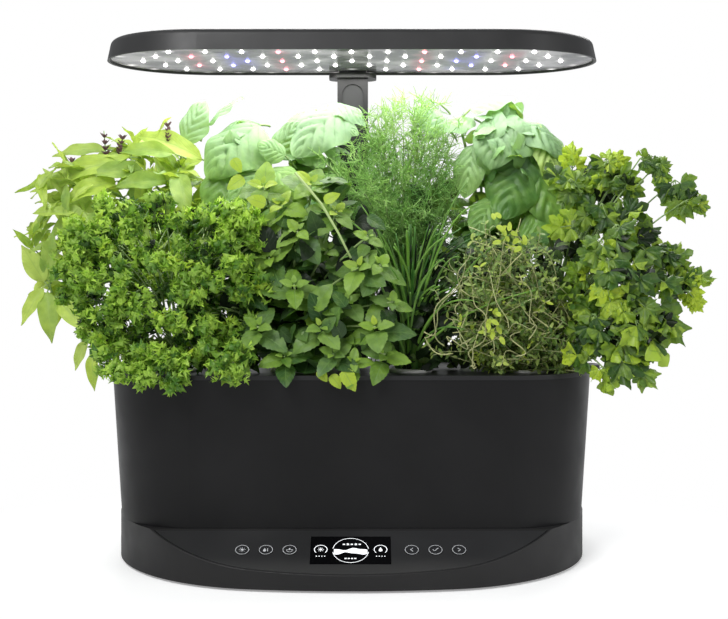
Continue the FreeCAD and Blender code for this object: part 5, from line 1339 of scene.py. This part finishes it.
def make_prints():
    """A pale ring and sign on each key, and the display's tank level between two dials."""
    ink = paper("panel_ink", (0.62, 0.63, 0.65))
    glow = glowing("display_glow", (0.92, 0.96, 1.0), 0.85)
    line, key_ring, display_ring, dial, dial_ring = 0.45, 5.5, 14.6, 24.0, 5.4
    names = ("light", "water", "food", "back", "select", "next")
    places = (-87.0, -68.0, -49.0, 49.0, 68.0, 87.0)
    for name, x in zip(names, places):
        sign = Print(x, KEY_RISE)
        sign.ring(0, 0, key_ring, line)
        if name == "light":
            sign.sun(0, 0, 1.2)
        elif name == "water":
            sign.drop(-1.0, -1.0, 1.3)
            sign.bar((1.4, -2.0), (1.4, 1.8), 0.5)
        elif name == "food":
            sign.ring(0, -0.2, 2.6, line, 180, 360, 12)
            sign.bar((-2.8, 0.0), (2.8, 0.0), line)
            sign.drop(0, 0.8, 0.7)
        elif name == "select":
            sign.bar((-2.2, 0.2), (-0.6, -1.6), 0.6)
            sign.bar((-0.9, -1.6), (2.4, 2.0), 0.6)
        else:
            aim = -1.0 if name == "back" else 1.0
            sign.bar((-1.0 * aim, 2.0), (1.1 * aim, 0.0), 0.6)
            sign.bar((-1.0 * aim, -2.0), (1.1 * aim, 0.0), 0.6)
        sign.piece("legend_" + name, ink, "key_plastic", "button_" + name)

    face = Print(0.0, LENS_RISE)
    face.ring(0, 0, display_ring, line, -172, -8, 40)
    face.ring(0, 0, display_ring, line, 8, 172, 40)
    steps = [-13.4 + 26.8 * k / 30 for k in range(31)]
    for a, b in zip(steps[:-1], steps[1:]):
        low = [(x, wave(x, 2.2) - 3.6) for x in (a, b)]
        high = [(x, wave(x, 0.4) + 1.4) for x in (b, a)]
        face.shape(*low, *high)
    for k in range(5):
        face.bar((-6.4 + 3.2 * k, 7.2), (-4.6 + 3.2 * k, 7.2), 1.9 if k % 2 else 1.3)
    for k in range(4):
        face.bar((-4.8 + 2.6 * k, -9.6), (-3.2 + 2.6 * k, -9.6), 1.2)
    for side in (-1, 1):
        face.ring(dial * side, 1.0, dial_ring, 0.55, -45, 225, 30)
        for k in range(4):
            face.disc(dial * side - 3.3 + 2.2 * k, -6.9, 0.5, 8)
    face.sun(-dial, 1.0, 1.1)
    face.drop(dial, 0.2, 1.5)
    face.piece("display_graphics", glow, "display_glass", "root")


# Stage, light and camera


WHITE = (1.0, 1.0, 1.0)


def make_stage():
    """A lit floor that fades to plain white round the garden, and a soft white room."""
    graph = Graph("white_floor")
    x, y, _ = graph.axes()
    across, ahead = graph.math("MULTIPLY", x, 0.8), graph.math("MULTIPLY", y, 1.1)
    squares = graph.math("MULTIPLY_ADD", across, across, graph.math("MULTIPLY", ahead, ahead))
    away = graph.span(graph.math("SQRT", squares), *FLOOR_FADE)
    diffuse = graph.node("BsdfDiffuse", {"Color": (0.9, 0.9, 0.9)}).outputs[0]
    glow = graph.node("Emission", {"Color": WHITE, "Strength": FLOOR_GLOW}).outputs[0]
    lit = graph.node("AddShader", {0: diffuse, 1: glow}).outputs[0]
    clear = graph.node("Emission", {"Color": WHITE, "Strength": 1.0}).outputs[0]
    seen = graph.node("LightPath").outputs["Is Camera Ray"]
    white = graph.show(graph.blend(seen, diffuse, graph.blend(away, lit, clear)))
    signs = ((-1, -1), (1, -1), (1, 1), (-1, 1))
    corners = [(x * FLOOR_REACH, y * FLOOR_REACH, 0) for x, y in signs]
    floor = new_object("floor", corners, [(0, 1, 2, 3)], white)

    room = Graph("studio", "World")
    soft = room.node("Background", {"Color": (0.95, 0.97, 1.0), "Strength": ROOM_STRENGTH}).outputs[0]
    bright = room.node("Background", {"Color": WHITE, "Strength": 1.0}).outputs[0]
    seen = room.node("LightPath").outputs["Is Camera Ray"]
    bpy.context.scene.world = room.show(room.blend(seen, soft, bright))


def area_light(name, place, aim, width, height, power, colour=WHITE):
    """A rectangular light that faces a point."""
    lamp = bpy.data.lights.new(name, "AREA")
    lamp.shape = "RECTANGLE"
    lamp.size, lamp.size_y = width, height
    lamp.energy = power
    lamp.color = colour
    made = bpy.data.objects.new(name, lamp)
    made.location = place
    made.rotation_euler = (Vector(aim) - Vector(place)).to_track_quat("-Z", "Y").to_euler()
    bpy.context.collection.objects.link(made)
    return made


def make_lights():
    """Three soft lights round the garden, and the hood's own light on the leaves."""
    middle = (0, 0, 0.25)
    area_light("key", (-0.7, -1.3, 1.5), middle, 0.9, 0.8, 24)
    area_light("fill", (1.5, -1.2, 0.9), middle, 1.0, 1.0, 8)
    area_light("back", (0.2, 1.3, 1.3), middle, 1.6, 0.8, 20)
    grow = area_light("grow", (0, 0, 0.4325), (0, 0, 0), 0.38, 0.13, 0.9, (1.0, 0.99, 0.96))
    grow.visible_camera = False


def make_camera():
    camera = bpy.data.cameras.new("camera")
    camera.lens = CAMERA_LENS
    camera.sensor_width = 36.0
    camera.shift_y = CAMERA_SHIFT
    camera.clip_start, camera.clip_end = 0.05, 50.0
    made = bpy.data.objects.new("camera", camera)
    made.location = (CAMERA_ASIDE, -CAMERA_AWAY, CAMERA_HEIGHT)
    made.rotation_euler = (math.pi / 2, 0, 0)
    bpy.context.collection.objects.link(made)
    bpy.context.scene.camera = made


MATERIALS = make_materials()
dress_nodes()
make_lamps()
make_prints()
make_herbs()
make_stage()
make_lights()
make_camera()
bpy.context.scene.view_settings.view_transform = "Standard"
